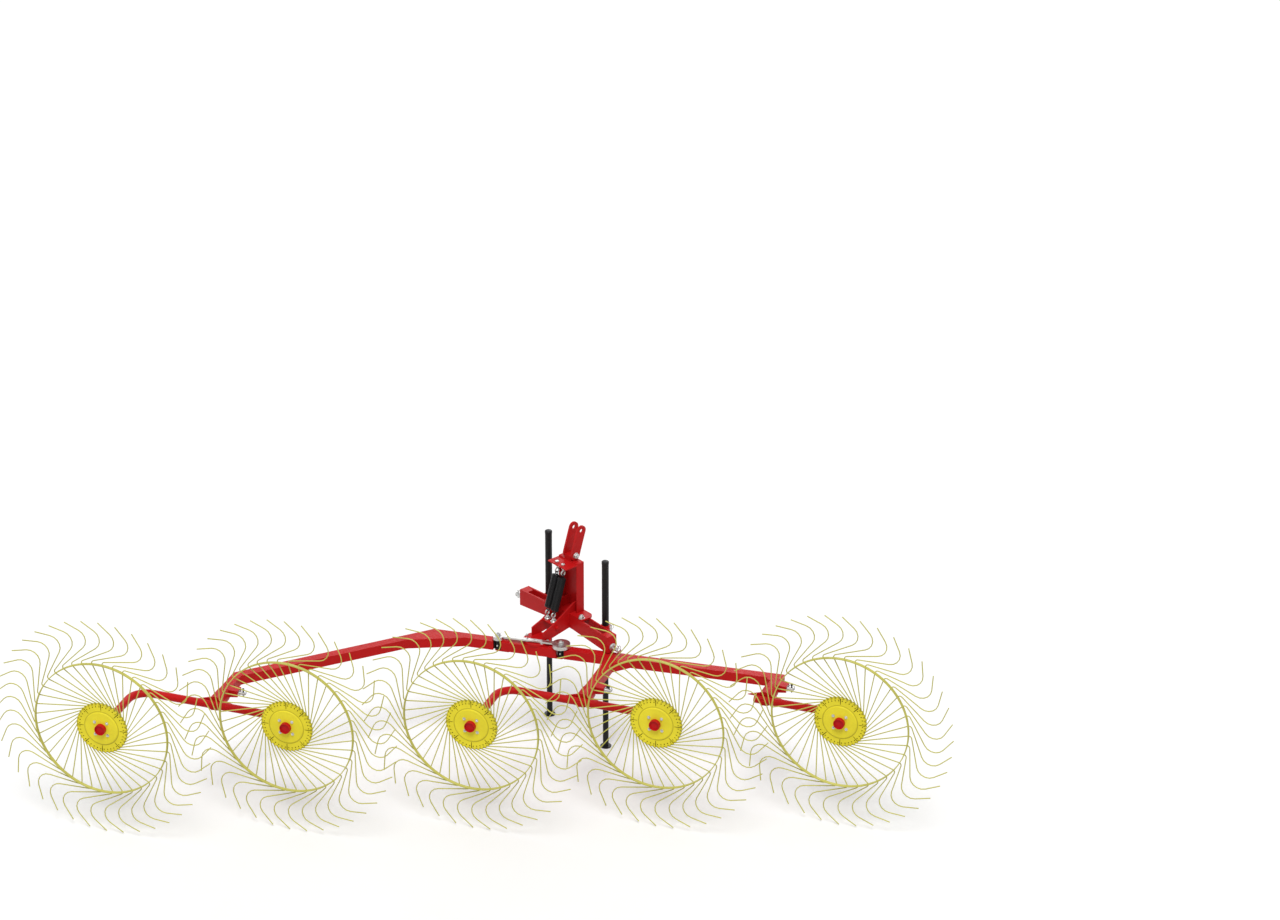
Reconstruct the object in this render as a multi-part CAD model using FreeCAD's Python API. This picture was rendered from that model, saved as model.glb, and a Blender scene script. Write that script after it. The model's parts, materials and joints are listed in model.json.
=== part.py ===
"""Mounted finger-wheel rake and tedder: five wire wheels on a hinged beam behind a three-point headstock.

Millimetres. +X is to the right of travel, +Y is forward (towards the tractor) and +Z is up. The origin is on
the ground below the hub of the middle wheel, which is also the middle of the machine's footprint.
"""
import FreeCAD, Part
import math
import os

os.makedirs("parts", exist_ok=True)

Vector = FreeCAD.Vector

# ---------------------------------------------------------------- driving sizes
# Row of finger wheels
WHEEL_COUNT = 5
TIP_RADIUS = 700.0            # wheel centre to tine tip
WHEEL_PITCH = 1085.6          # hub to hub along the row
ROW_ANGLE = 50.4              # row of hubs, from +X
PLANE_ANGLE = 29.35           # plane of each wheel, from +X

# One finger wheel
TINE_COUNT = 40
TINE_WIRE = 6.5               # across the flats of a tine
TINE_START = 150.0            # wheel centre to the inner end of a tine, in the disc
SPOKE_OFFSET = 139.0          # wheel centre to the line of a tine's inner run
TINE_KINK = 437.5             # wheel centre to the kink just outside the ring
TINE_BEND = 588.0             # wheel centre to the corner of the bent end
BEND_LAG = 31.2               # degrees from the kink back to the bend
TIP_LAG = 16.3                # degrees from the kink back to the tip
TINE_BEND_RADIUS = 69.0
BEND_STEPS = 4                # straight pieces in a tine's bend
RING_RADIUS = 424.0           # ring that ties the tines together
RING_WIRE = 10.0
RING_SINK = 1.75              # weld of the ring into the tines
DISC_RADIUS = 163.0
DISC_THICKNESS = 16.0
DISC_STEP_RADIUS = 104.0      # raised middle of the pressed disc
DISC_STEP_HEIGHT = 6.0
TINE_CLEARANCE = 0.1          # tines in the disc's slot
HOUSING_RADIUS = 46.0         # bearing housing behind the disc
HOUSING_LENGTH = 44.0
CAP_RADIUS = 33.0
CAP_HEIGHT = 26.0
SPINDLE_RADIUS = 17.5
SPINDLE_CLEARANCE = 0.05      # radial, spindle in its housing

# Rocking arms that carry the wheels
ARM_TUBE_RADIUS = 24.0
ARM_SETBACK = 90.0            # wheel plane to the middle of the arm tube behind it
ARM_BEND_RADIUS = 110.0
ARM_END_OVERHANG = 34.0       # arm tube past the spindle
ARM_TAIL = 60.0               # single arm past its pivot
LEG_END_GAP = 8.0             # bearing housing to the end of the arm's short leg
BOSS_RADIUS = 46.0
BOSS_LENGTH = 110.0
BOSS_LAP = 8.0                # pivot boss past the front of the arm tube
BOSS_GAP = 6.0                # pivot boss to the end of the leg ahead of it
BOSS_GUSSET_LENGTH = 64.0     # gusset from the arm tube up to the boss, on each side
BOSS_GUSSET_THICKNESS = 10.0
PIVOT_RADIUS = 20.0
PIVOT_CLEARANCE = 0.05
PIVOT_END_GAP = 10.0          # pivot pin to the bottom of its bore
PIN_LAP = 20.0                # pins and spindles into what they are welded to

# Main beam
BEAM_SIZE = 60.0
BEAM_ANGLE = 34.0             # middle section and right wing, from +X
LEFT_HINGE = (-672.0, 755.0)  # in plan
MIDDLE_LENGTH = 394.0         # hinge to hinge
LEFT_STUB_LENGTH = 402.0      # hinge to the bend in the left wing
LEFT_CORNER_AHEAD = 436.0     # corner of the left wing ahead of the plane of wheel 2
BEND_PLATE_LENGTH = 280.0     # filler in the bend of the left wing, along each side
CORNER_PLATE_LONG = 142.0     # fillers between the right wing and its legs
CORNER_PLATE_SHORT = 95.0
LOCK_REACH = 88.0             # lock bracket out from a leg's middle
LOCK_DEPTH = 60.0
LOCK_PLATE = 8.0
LOCK_SETBACK = 12.0           # bracket from the end of the leg
LOCK_HEIGHT = 16.0            # lock pin above the middle of the leg
HINGE_RADIUS = 21.0
HINGE_GAP = 4.0               # hinge barrel to the beams beside it
HINGE_END_GAP = 0.3           # barrel to the ears above and below it
HINGE_WEB_LAP = 2.0           # web between barrel and wing, into the barrel
HINGE_WEB_INSET = 4.0         # web inside the beam's and the barrel's outlines
EAR_THICKNESS = 8.0
EAR_OVERLAP = 46.0            # ear welded along the middle beam
HINGE_PIN_RADIUS = 12.0
HINGE_CLEARANCE = 0.05
TIE_BAR_THICKNESS = 10.0
TIE_EYE_HEIGHT = 22.0
TIE_BAR_WIDTH = 26.0
TIE_EYE_LEFT = 36.0           # radii of its two round ends
TIE_EYE_RIGHT = 56.0
TIE_HOLE_RADIUS = 7.0
TIE_HOLE_SHIFT = 14.0         # hole from the middle of the bar, towards the left end

# Headstock, category 2
LINK_SPREAD = 825.0           # between the shoulders of the lower link pins
LINK_PIN_RADIUS = 14.0
LINK_PIN_LENGTH = 70.0
MAST_HEIGHT = 610.0           # lower link pins to upper link hole
UPPER_HOLE_RADIUS = 12.75
LINK_Y = 1165.0
UPPER_HOLE_AHEAD = 48.0       # upper link hole ahead of the mast
MAST_AHEAD = 30.0             # mast ahead of the lower link pins
MAST_WIDTH = 170.0
MAST_DEPTH = 56.0
MAST_PLATE = 8.0
CHEEK_WIDTH = 66.0
CHEEK_LENGTH = 150.0          # height from the cheeks' bolts to the upper link hole
CHEEK_THICKNESS = 12.0
CHEEK_GAP = 57.0              # room for the upper link's ball
BRIDGE_HEIGHT = 30.0          # plate between the cheeks
HEADSTOCK_CLEARANCE = 8.0     # hitch arms above the beams that swing below them
LINK_RISE = 34.0              # lower link pins above the underside of the hitch arms
HITCH_ARM_DEPTH = 70.0        # front to back
HITCH_ARM_ROOT = 87.0         # height at the mast
HITCH_ARM_TIP = 106.0
HITCH_ARM_FALL = 32.0         # underside at the mast above the underside at the tip
HITCH_ARM_PLATE = 10.0
HITCH_TIP_LENGTH = 60.0       # closed end of an arm, around the lower link pin
SADDLE_WIDTH = 352.0          # plate over the arms' roots that carries the mast
SADDLE_DEPTH = 100.0
SADDLE_THICKNESS = 10.0
SADDLE_CORNER = 42.0
POST_WIDTH = 60.0             # post under the saddle
FLOAT_ARM_WIDTH = 112.0
FLOAT_ARM_PLATE = 10.0
FLOAT_ARM_ROOT = 60.0         # height on the saddle, at the mast
FLOAT_ARM_FOOT = 75.0         # length on the base plate
FLOAT_ARM_HEEL = 55.0         # height of its rear edge
TIE_BAR_CLEARANCE = 6.0       # float arm ahead of the tie bar
BASE_PLATE_RADIUS = 85.0
BASE_PLATE_THICKNESS = 15.0
BASE_PLATE_AHEAD = 60.0       # middle of the base plate ahead of the middle beam
SPRING_RADIUS = 25.5
SPRING_SPREAD = 56.0
SHELF_DROP = 16.0             # underside of the upper spring shelf below the top of the mast
SHELF_THICKNESS = 8.0
SHELF_REACH = 60.0            # behind the mast
SHELF_EDGE = 25.0             # shelves past the eyebolts
UPPER_EYE_LENGTH = 70.0       # eyebolt from shelf to spring
LOWER_EYE_LENGTH = 75.0
BRACKET_RISE = 85.0           # lower spring shelf above the base plate
BRACKET_AHEAD = 105.0         # lower eyebolts ahead of the base plate's middle
EYEBOLT_RADIUS = 8.0
STAND_SPREAD = 531.0
STAND_TUBE_RADIUS = 21.2
STAND_TUBE_HEIGHT = 525.0     # above the underside of the hitch arms
STAND_CAP = 12.0              # height of the plug in the top of a stand tube
STAND_RADIUS = 17.5
STAND_CLEARANCE = 0.5         # radial, leg in its tube
STAND_TRAVEL = 400.0
STAND_END_GAP = 6.0           # leg to plug when the leg is right up
STAND_FOOT_RADIUS = 34.0
STAND_FOOT_THICKNESS = 8.0
STAND_AHEAD = 17.0            # stand tube ahead of the hitch arms
SOCKET_WALL = 6.0
SOCKET_HEIGHT = 90.0          # clamp of a stand tube
SOCKET_RISE = 8.0             # clamp above the underside of the hitch arms
SOCKET_CLEARANCE = 0.05
SOCKET_WEB = 30.0             # web between clamp and hitch arm


def cosd(angle):
    return math.cos(math.radians(angle))


def sind(angle):
    return math.sin(math.radians(angle))


# ---------------------------------------------------------------- directions and places
ALONG = Vector(cosd(PLANE_ANGLE), sind(PLANE_ANGLE), 0)     # along a wheel's plane
BACK = Vector(sind(PLANE_ANGLE), -cosd(PLANE_ANGLE), 0)     # out of a wheel's plane, to the rear
ROW = Vector(cosd(ROW_ANGLE), sind(ROW_ANGLE), 0)
BEAM = Vector(cosd(BEAM_ANGLE), sind(BEAM_ANGLE), 0)
UP = Vector(0, 0, 1)
HUB_HEIGHT = TIP_RADIUS
ARM_PITCH = WHEEL_PITCH * cosd(ROW_ANGLE - PLANE_ANGLE)     # wheel to wheel along their planes
PLANE_STEP = WHEEL_PITCH * sind(ROW_ANGLE - PLANE_ANGLE)    # wheel plane to wheel plane


def hub(number):
    """Centre of a wheel; wheel 1 is the rearmost, on the left."""
    middle = (WHEEL_COUNT + 1) / 2.0
    return ROW * ((number - middle) * WHEEL_PITCH) + UP * HUB_HEIGHT


def from_hub(number, along, back):
    return hub(number) + ALONG * along + BACK * back


def save(name, shape):
    shape.exportStep("parts/" + name + ".step")


def rod(start, end, radius):
    return Part.makeCylinder(radius, (end - start).Length, start, end - start)


def square_face(centre, direction, width, height):
    """Rectangle across a level direction, with its sides level and upright."""
    side = UP.cross(direction)
    side.normalize()
    corners = []
    for a, b in ((-1, -1), (1, -1), (1, 1), (-1, 1)):
        corners.append(centre + side * (a * width / 2.0) + UP * (b * height / 2.0))
    return Part.makePolygon(corners + corners[:1])


def square_bar(points, width, height):
    """Bar of rectangular section along level points, mitred at each of them."""
    path = Part.makePolygon(points)
    profile = square_face(points[0], points[1] - points[0], width, height)
    return path.makePipeShell([profile], True, False, 1)


def bent_rod(start, corner, end, bend_radius, radius):
    """Round bar from start to end with one arc at the corner."""
    first = corner - start
    second = end - corner
    turn = first.getAngle(second)
    first.normalize()
    second.normalize()
    setback = bend_radius * math.tan(turn / 2.0)
    arc_start = corner - first * setback
    arc_end = corner + second * setback
    middle = (first * -1 + second)
    middle.normalize()
    apex = corner + middle * (bend_radius / math.cos(turn / 2.0) - bend_radius)
    path = Part.Wire([Part.LineSegment(start, arc_start).toShape(),
                      Part.Arc(arc_start, apex, arc_end).toShape(),
                      Part.LineSegment(arc_end, end).toShape()])
    profile = Part.Wire(Part.Circle(start, first, radius).toShape())
    return path.makePipeShell([profile], True, True)


# ---------------------------------------------------------------- finger wheels
def in_wheel(radius, angle):
    """Place in a wheel from its centre; angles run from the right, anticlockwise seen from the rear."""
    return ALONG * (radius * cosd(angle)) + UP * (radius * sind(angle))


WIRE_CORNER = TINE_WIRE / 2.0 / cosd(30.0)     # middle of a hexagonal wire to its corners


def wire(points):
    """Hexagonal wire along points that all lie in one wheel's plane."""
    along = points[1] - points[0]
    along.normalize()
    side = BACK.cross(along)
    corners = []
    for k in range(6):
        across = side * (WIRE_CORNER * cosd(60 * k)) + BACK * (WIRE_CORNER * sind(60 * k))
        corners.append(points[0] + across)
    profile = Part.makePolygon(corners + corners[:1])
    return Part.makePolygon(points).makePipeShell([profile], True, False, 1)


def tine_points(phase, tip_radius):
    """Spoke from the disc to the kink, outer run, bend and tip of the tine whose kink is at an angle."""
    spoke_lag = math.degrees(math.acos(SPOKE_OFFSET / TINE_KINK) - math.acos(SPOKE_OFFSET / TINE_START))
    start = in_wheel(TINE_START, phase - spoke_lag)
    kink = in_wheel(TINE_KINK, phase)
    corner = in_wheel(TINE_BEND, phase - BEND_LAG)
    tip = in_wheel(tip_radius, phase - TIP_LAG)
    inward = kink - corner
    outward = tip - corner
    turn = math.pi - inward.getAngle(outward)
    setback = TINE_BEND_RADIUS * math.tan(turn / 2.0)
    inward.normalize()
    outward.normalize()
    middle = inward + outward
    middle.normalize()
    centre = corner + middle * (TINE_BEND_RADIUS / math.cos(turn / 2.0))
    spoke_end = corner + inward * setback - centre
    bend = []
    for k in range(BEND_STEPS + 1):
        swing = FreeCAD.Rotation(BACK, math.degrees(turn) * k / BEND_STEPS)
        bend.append(centre + swing.multVec(spoke_end))
    return [start, kink] + bend + [tip]


def outer_corner(points):
    """Outermost corner of a wire's end."""
    last = points[-1] - points[-2]
    last.normalize()
    side = BACK.cross(last) * WIRE_CORNER
    return max((points[-1] + side, points[-1] - side), key=lambda place: place.Length)


def tines():
    """Tines and ring of one wheel; the outer corner of the lowest tip is straight below the hub."""
    reach = outer_corner(tine_points(0.0, TIP_RADIUS))
    tip_radius = TIP_RADIUS * 2.0 - reach.Length
    step = 360.0 / TINE_COUNT
    phase = -math.degrees(math.atan2(reach.z, reach.dot(ALONG))) - 90.0
    wires = [wire(tine_points(phase + step * k, tip_radius)) for k in range(TINE_COUNT)]
    ring_place = BACK * (WIRE_CORNER + RING_WIRE / 2.0 - RING_SINK)
    ring = Part.makeTorus(RING_RADIUS, RING_WIRE / 2.0, ring_place, BACK)
    return ring.fuse(wires)


def disc(number):
    centre = hub(number)
    half = DISC_THICKNESS / 2.0
    gap = WIRE_CORNER + TINE_CLEARANCE
    body = rod(centre - BACK * half, centre + BACK * half, DISC_RADIUS)
    slot = rod(centre - BACK * gap, centre + BACK * gap, DISC_RADIUS)
    core = rod(centre - BACK * half, centre + BACK * half, TINE_START - WIRE_CORNER - TINE_CLEARANCE)
    step = rod(centre + BACK * half, centre + BACK * (half + DISC_STEP_HEIGHT), DISC_STEP_RADIUS)
    hole = rod(centre - BACK * half, centre + BACK * (half + DISC_STEP_HEIGHT), CAP_RADIUS)
    return body.cut(slot.cut(core)).fuse(step).cut(hole).removeSplitter()


def bearing(number):
    centre = hub(number)
    rear = -DISC_THICKNESS / 2.0
    front = DISC_THICKNESS / 2.0 + DISC_STEP_HEIGHT
    housing = rod(centre + BACK * (rear - HOUSING_LENGTH), centre + BACK * rear, HOUSING_RADIUS)
    cap = rod(centre + BACK * rear, centre + BACK * (front + CAP_HEIGHT), CAP_RADIUS)
    bore = rod(centre + BACK * (rear - HOUSING_LENGTH), centre + BACK * front,
               SPINDLE_RADIUS + SPINDLE_CLEARANCE)
    return housing.fuse(cap).cut(bore)


def spindle(number, start_back):
    return rod(from_hub(number, 0, start_back), from_hub(number, 0, DISC_THICKNESS / 2.0), SPINDLE_RADIUS)


wheel_tines = tines()
for wheel in range(1, WHEEL_COUNT + 1):
    save("wheel_%d_tines" % wheel, wheel_tines.translated(hub(wheel)))
    save("wheel_%d_disc" % wheel, disc(wheel))
    save("wheel_%d_bearing" % wheel, bearing(wheel))


# ---------------------------------------------------------------- rocking arms
BOSS_FRONT = -ARM_SETBACK - ARM_TUBE_RADIUS + BOSS_LAP
BOSS_REAR = BOSS_FRONT - BOSS_LENGTH


def in_arm(number, along, back, up):
    """Place measured from an arm's pivot axis, in the plane of the wheel to the right of it."""
    return from_hub(number, along - ARM_PITCH / 2.0, back) + UP * up


def plate_across(number, outline, back, thickness):
    """Upright plate square to the pivot axis, from an outline of (along, up) points."""
    points = [in_arm(number, along, back - thickness, up) for along, up in outline]
    return Part.Face(Part.makePolygon(points + points[:1])).extrude(BACK * thickness)


def boss(number):
    """Pivot boss with its two gussets, ahead of the arm tube and half a pitch left of the given wheel."""
    body = rod(in_arm(number, 0, BOSS_REAR, 0), in_arm(number, 0, BOSS_FRONT, 0), BOSS_RADIUS)
    bore = rod(in_arm(number, 0, BOSS_REAR, 0), in_arm(number, 0, -ARM_SETBACK, 0),
               PIVOT_RADIUS + PIVOT_CLEARANCE)
    low = ARM_TUBE_RADIUS / 2.0
    high = BOSS_RADIUS * sind(60)
    foot = BOSS_RADIUS + BOSS_GUSSET_LENGTH
    outline = [(-foot, low), (foot, low), (BOSS_RADIUS * cosd(60), high), (-BOSS_RADIUS * cosd(60), high)]
    gusset = plate_across(number, outline, BOSS_FRONT, BOSS_GUSSET_THICKNESS)
    return body.fuse(gusset), bore


def rocking_arm(number):
    """Arm that carries a wheel at each end, given by the one to the right."""
    housing_end = -DISC_THICKNESS / 2.0 - HOUSING_LENGTH
    leg_end = PLANE_STEP + housing_end - LEG_END_GAP
    start = from_hub(number, -ARM_PITCH, leg_end)
    corner = from_hub(number, -ARM_PITCH, -ARM_SETBACK)
    end = from_hub(number, ARM_END_OVERHANG, -ARM_SETBACK)
    tube = bent_rod(start, corner, end, ARM_BEND_RADIUS, ARM_TUBE_RADIUS)
    body, bore = boss(number)
    far_spindle = spindle(number - 1, housing_end - LEG_END_GAP - PIN_LAP)
    return tube.fuse([body, spindle(number, -ARM_SETBACK), far_spindle]).cut(bore)


def single_arm(number):
    start = from_hub(number, -ARM_PITCH / 2.0 - ARM_TAIL, -ARM_SETBACK)
    end = from_hub(number, ARM_END_OVERHANG, -ARM_SETBACK)
    body, bore = boss(number)
    return rod(start, end, ARM_TUBE_RADIUS).fuse([body, spindle(number, -ARM_SETBACK)]).cut(bore)


save("left_rocking_arm", rocking_arm(2))
save("right_rocking_arm", rocking_arm(4))
save("end_arm", single_arm(5))

# ---------------------------------------------------------------- main beam
hinge_left = Vector(LEFT_HINGE[0], LEFT_HINGE[1], HUB_HEIGHT)
hinge_right = hinge_left + BEAM * MIDDLE_LENGTH
beam_start = HINGE_RADIUS + HINGE_GAP
beam_top = HUB_HEIGHT + BEAM_SIZE / 2.0


def leg_foot(number, back):
    return from_hub(number, -ARM_PITCH / 2.0, back)


def pivot(number):
    start = leg_foot(number, BOSS_REAR - BOSS_GAP - PIN_LAP)
    return rod(start, leg_foot(number, -ARM_SETBACK - PIVOT_END_GAP), PIVOT_RADIUS)


def barrel(place):
    """Hinge barrel on a wing, between the middle beam's two ears."""
    half = BEAM_SIZE / 2.0 - HINGE_END_GAP
    low = place - UP * half
    high = place + UP * half
    return rod(low, high, HINGE_RADIUS).cut(rod(low, high, HINGE_PIN_RADIUS + HINGE_CLEARANCE))


def beam_meets_leg(number):
    """Point where a leg's line crosses the right wing's line."""
    offset = leg_foot(number, 0) - hinge_right
    along = (offset.x * BACK.y - offset.y * BACK.x) / (BEAM.x * BACK.y - BEAM.y * BACK.x)
    return hinge_right + BEAM * along


def middle_beam():
    body = square_bar([hinge_left + BEAM * beam_start, hinge_right - BEAM * beam_start], BEAM_SIZE, BEAM_SIZE)
    for place, inward in ((hinge_left, BEAM), (hinge_right, BEAM * -1)):
        for level in (BEAM_SIZE / 2.0, -BEAM_SIZE / 2.0 - EAR_THICKNESS):
            base = place + UP * level
            middle = base + UP * EAR_THICKNESS / 2.0
            ear = square_bar([middle, middle + inward * (beam_start + EAR_OVERLAP)],
                             HINGE_RADIUS * 2, EAR_THICKNESS)
            ear = ear.fuse(rod(base, base + UP * EAR_THICKNESS, HINGE_RADIUS))
            hole = rod(base, base + UP * EAR_THICKNESS, HINGE_PIN_RADIUS)
            body = body.fuse(ear.cut(hole))
    return body.removeSplitter()


def corner_plate(corner, one, other, length):
    """Filler as deep as the beam in the inner corner between two runs that leave a corner."""
    one = one * (1.0 / one.Length)
    other = other * (1.0 / other.Length)
    low = corner - UP * (BEAM_SIZE / 2.0)
    points = [low, low + one * length, low + other * length]
    return Part.Face(Part.makePolygon(points + points[:1])).extrude(UP * BEAM_SIZE)


def lock_bracket(number):
    """Two plates and a cover beside the foot of a leg, where the lock pin of its rocking arm goes through."""
    front = BOSS_REAR - BOSS_GAP - LOCK_SETBACK
    low = -BEAM_SIZE / 2.0 + LOCK_PLATE
    high = LOCK_HEIGHT * 2.0
    outline = [(0, low), (LOCK_REACH, -LOCK_PLATE), (LOCK_REACH, high), (0, high)]
    cover = [(0, high - LOCK_PLATE), (LOCK_REACH, high - LOCK_PLATE), (LOCK_REACH, high), (0, high)]
    near = plate_across(number, outline, front, LOCK_PLATE)
    far = plate_across(number, outline, front - LOCK_DEPTH + LOCK_PLATE, LOCK_PLATE)
    return plate_across(number, cover, front, LOCK_DEPTH).fuse([near, far])


leg_end = BOSS_REAR - BOSS_GAP
left_bend = hinge_left - BEAM * LEFT_STUB_LENGTH
left_corner = leg_foot(2, -LEFT_CORNER_AHEAD)
left_wing = square_bar([hinge_left - BEAM * beam_start, left_bend, left_corner, leg_foot(2, leg_end)],
                       BEAM_SIZE, BEAM_SIZE)
bend_plate = corner_plate(left_bend, BEAM, left_corner - left_bend, BEND_PLATE_LENGTH)
save("left_beam", left_wing.fuse([bend_plate, lock_bracket(2), pivot(2)]).removeSplitter())
save("middle_beam", middle_beam())

right_end = beam_meets_leg(5)
branch_root = beam_meets_leg(4)
right_wing = square_bar([hinge_right + BEAM * beam_start, right_end, leg_foot(5, leg_end)],
                        BEAM_SIZE, BEAM_SIZE)
branch = square_bar([branch_root, leg_foot(4, leg_end)], BEAM_SIZE, BEAM_SIZE)
plates = [corner_plate(right_end, BEAM * -1, BACK, CORNER_PLATE_SHORT),
          corner_plate(branch_root, BEAM, BACK, CORNER_PLATE_LONG),
          corner_plate(branch_root, BEAM * -1, BACK, CORNER_PLATE_SHORT)]
brackets = [lock_bracket(4), lock_bracket(5)]
right_wing = right_wing.fuse([branch, pivot(4), pivot(5)] + brackets + plates)
save("right_beam", right_wing.removeSplitter())

ear_top = beam_top + EAR_THICKNESS
for name, place, away in (("left", hinge_left, BEAM * -1), ("right", hinge_right, BEAM)):
    link = square_bar([place + away * (HINGE_RADIUS - HINGE_WEB_LAP), place + away * beam_start],
                      (HINGE_RADIUS - HINGE_WEB_INSET) * 2, BEAM_SIZE - HINGE_WEB_INSET * 2)
    tube = barrel(place)
    save(name + "_hinge_barrel", tube.fuse(link))
    foot = place - UP * (BEAM_SIZE / 2.0 + EAR_THICKNESS)
    save(name + "_hinge_pin", rod(foot, Vector(place.x, place.y, ear_top), HINGE_PIN_RADIUS))

eye_left = Vector(hinge_left.x, hinge_left.y, ear_top)
eye_right = Vector(hinge_right.x, hinge_right.y, ear_top)
lift = UP * (TIE_EYE_HEIGHT - TIE_BAR_THICKNESS / 2.0)
tie_bar = square_bar([eye_left + lift, eye_right + lift], TIE_BAR_WIDTH, TIE_BAR_THICKNESS)
for place, radius in ((eye_left, TIE_EYE_LEFT), (eye_right, TIE_EYE_RIGHT)):
    tie_bar = tie_bar.fuse(rod(place, place + UP * TIE_EYE_HEIGHT, radius))
hole_place = (eye_left + eye_right) * 0.5 - BEAM * TIE_HOLE_SHIFT
tie_bar = tie_bar.cut(Part.makeCylinder(TIE_HOLE_RADIUS, TIE_EYE_HEIGHT, hole_place))
save("tie_bar", tie_bar.removeSplitter())

# ---------------------------------------------------------------- headstock
middle = (hinge_left + hinge_right) * 0.5
mast_x = middle.x
arms_low = beam_top + HEADSTOCK_CLEARANCE
link_height = arms_low + LINK_RISE
hole_height = link_height + MAST_HEIGHT
root_low = arms_low + HITCH_ARM_FALL
root_top = root_low + HITCH_ARM_ROOT
mast_foot = root_top + SADDLE_THICKNESS
mast_y = LINK_Y + MAST_AHEAD
mast_front = mast_y + MAST_DEPTH / 2.0
mast_rear = mast_y - MAST_DEPTH / 2.0
bolt_height = hole_height - CHEEK_LENGTH
mast_top = bolt_height - CHEEK_WIDTH / 2.0
shelf_height = mast_top - SHELF_DROP          # underside
base_top = beam_top + BASE_PLATE_THICKNESS
base_y = middle.y + BASE_PLATE_AHEAD
bracket_height = base_top + BRACKET_RISE      # top side
upper_eye = Vector(mast_x, mast_rear - SHELF_REACH, shelf_height)
lower_eye = Vector(mast_x, base_y + BRACKET_AHEAD, bracket_height)


def block(x0, x1, y0, y1, z0, z1):
    return Part.makeBox(x1 - x0, y1 - y0, z1 - z0, Vector(x0, y0, z0))


def side_plate(x, thickness, outline):
    """Upright plate facing left and right, from an outline of (y, z) points."""
    points = [Vector(x, y, z) for y, z in outline]
    face = Part.Face(Part.makePolygon(points + points[:1]))
    return face.extrude(Vector(thickness, 0, 0))


def mast():
    left = mast_x - MAST_WIDTH / 2.0
    right = mast_x + MAST_WIDTH / 2.0
    web = block(left, right, mast_front - MAST_PLATE, mast_front, mast_foot, mast_top)
    sides = [block(left, left + MAST_PLATE, mast_rear, mast_front, mast_foot, mast_top),
             block(right - MAST_PLATE, right, mast_rear, mast_front, mast_foot, mast_top),
             block(left, right, mast_rear, mast_front, mast_top - MAST_PLATE, mast_top),
             block(left, right, upper_eye.y - SHELF_EDGE, mast_front, shelf_height,
                   shelf_height + SHELF_THICKNESS)]
    return web.fuse(sides).removeSplitter()


save("mast", mast())


def cheek(x):
    low = Vector(x, mast_y, bolt_height)
    high = Vector(x, mast_y + UPPER_HOLE_AHEAD, hole_height)
    across = Vector(CHEEK_THICKNESS, 0, 0)
    direction = high - low
    direction.normalize()
    side = direction.cross(Vector(1, 0, 0)) * (CHEEK_WIDTH / 2.0)
    outline = [low + side, high + side, high - side, low - side]
    body = Part.Face(Part.makePolygon(outline + outline[:1])).extrude(across)
    body = body.fuse([Part.makeCylinder(CHEEK_WIDTH / 2.0, CHEEK_THICKNESS, low, across),
                      Part.makeCylinder(CHEEK_WIDTH / 2.0, CHEEK_THICKNESS, high, across)])
    return body.cut(Part.makeCylinder(UPPER_HOLE_RADIUS, CHEEK_THICKNESS, high, across)).removeSplitter()


left_cheek = cheek(mast_x - CHEEK_GAP / 2.0 - CHEEK_THICKNESS)
right_cheek = cheek(mast_x + CHEEK_GAP / 2.0)
bridge = block(mast_x - CHEEK_GAP / 2.0, mast_x + CHEEK_GAP / 2.0, mast_rear, mast_front,
               mast_top, mast_top + BRIDGE_HEIGHT)
save("upper_link_cheeks", left_cheek.fuse([right_cheek, bridge]))

arm_rear = LINK_Y - HITCH_ARM_DEPTH / 2.0
arm_front = LINK_Y + HITCH_ARM_DEPTH / 2.0


def facing_plate(y, thickness, outline):
    """Upright plate facing front and rear, from an outline of (x, z) points measured from the mast."""
    points = [Vector(mast_x + x, y, z) for x, z in outline]
    return Part.Face(Part.makePolygon(points + points[:1])).extrude(Vector(0, thickness, 0))


def saddle():
    """Plate on the roots of the arms, with rounded front corners, and the post below it."""
    half = SADDLE_WIDTH / 2.0
    rear = block(mast_x - half, mast_x + half, arm_rear, arm_rear + SADDLE_DEPTH - SADDLE_CORNER,
                 root_top, mast_foot)
    front = block(mast_x - half + SADDLE_CORNER, mast_x + half - SADDLE_CORNER, arm_rear,
                  arm_rear + SADDLE_DEPTH, root_top, mast_foot)
    corners = []
    for side in (-1, 1):
        corner_x = mast_x + side * (half - SADDLE_CORNER)
        place = Vector(corner_x, arm_rear + SADDLE_DEPTH - SADDLE_CORNER, root_top)
        corners.append(Part.makeCylinder(SADDLE_CORNER, SADDLE_THICKNESS, place))
    post_half = POST_WIDTH / 2.0
    post = block(mast_x - post_half, mast_x + post_half, arm_rear, arm_front, root_low, root_top)
    return rear.fuse([front, post] + corners)


def hitch_arm(side):
    """Tapering arm from the post to a lower link pin: two plates with a closed end, open between them."""
    tip = LINK_SPREAD / 2.0
    tip_top = arms_low + HITCH_ARM_TIP
    outline = [(0, root_top), (0, root_low), (MAST_WIDTH / 2.0, root_low), (tip, arms_low), (tip, tip_top),
               (SADDLE_WIDTH / 2.0, root_top)]
    outline = [(side * x, z) for x, z in outline]
    near = facing_plate(arm_rear, HITCH_ARM_PLATE, outline)
    far = facing_plate(arm_front - HITCH_ARM_PLATE, HITCH_ARM_PLATE, outline)
    whole = facing_plate(arm_rear, HITCH_ARM_DEPTH, outline)
    inner = mast_x + side * (tip - HITCH_TIP_LENGTH)
    outer = mast_x + side * tip
    end = block(min(inner, outer), max(inner, outer), arm_rear, arm_front, arms_low, tip_top)
    return near.fuse([far, whole.common(end)])


stand_y = arm_front + STAND_AHEAD + STAND_TUBE_RADIUS


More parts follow.
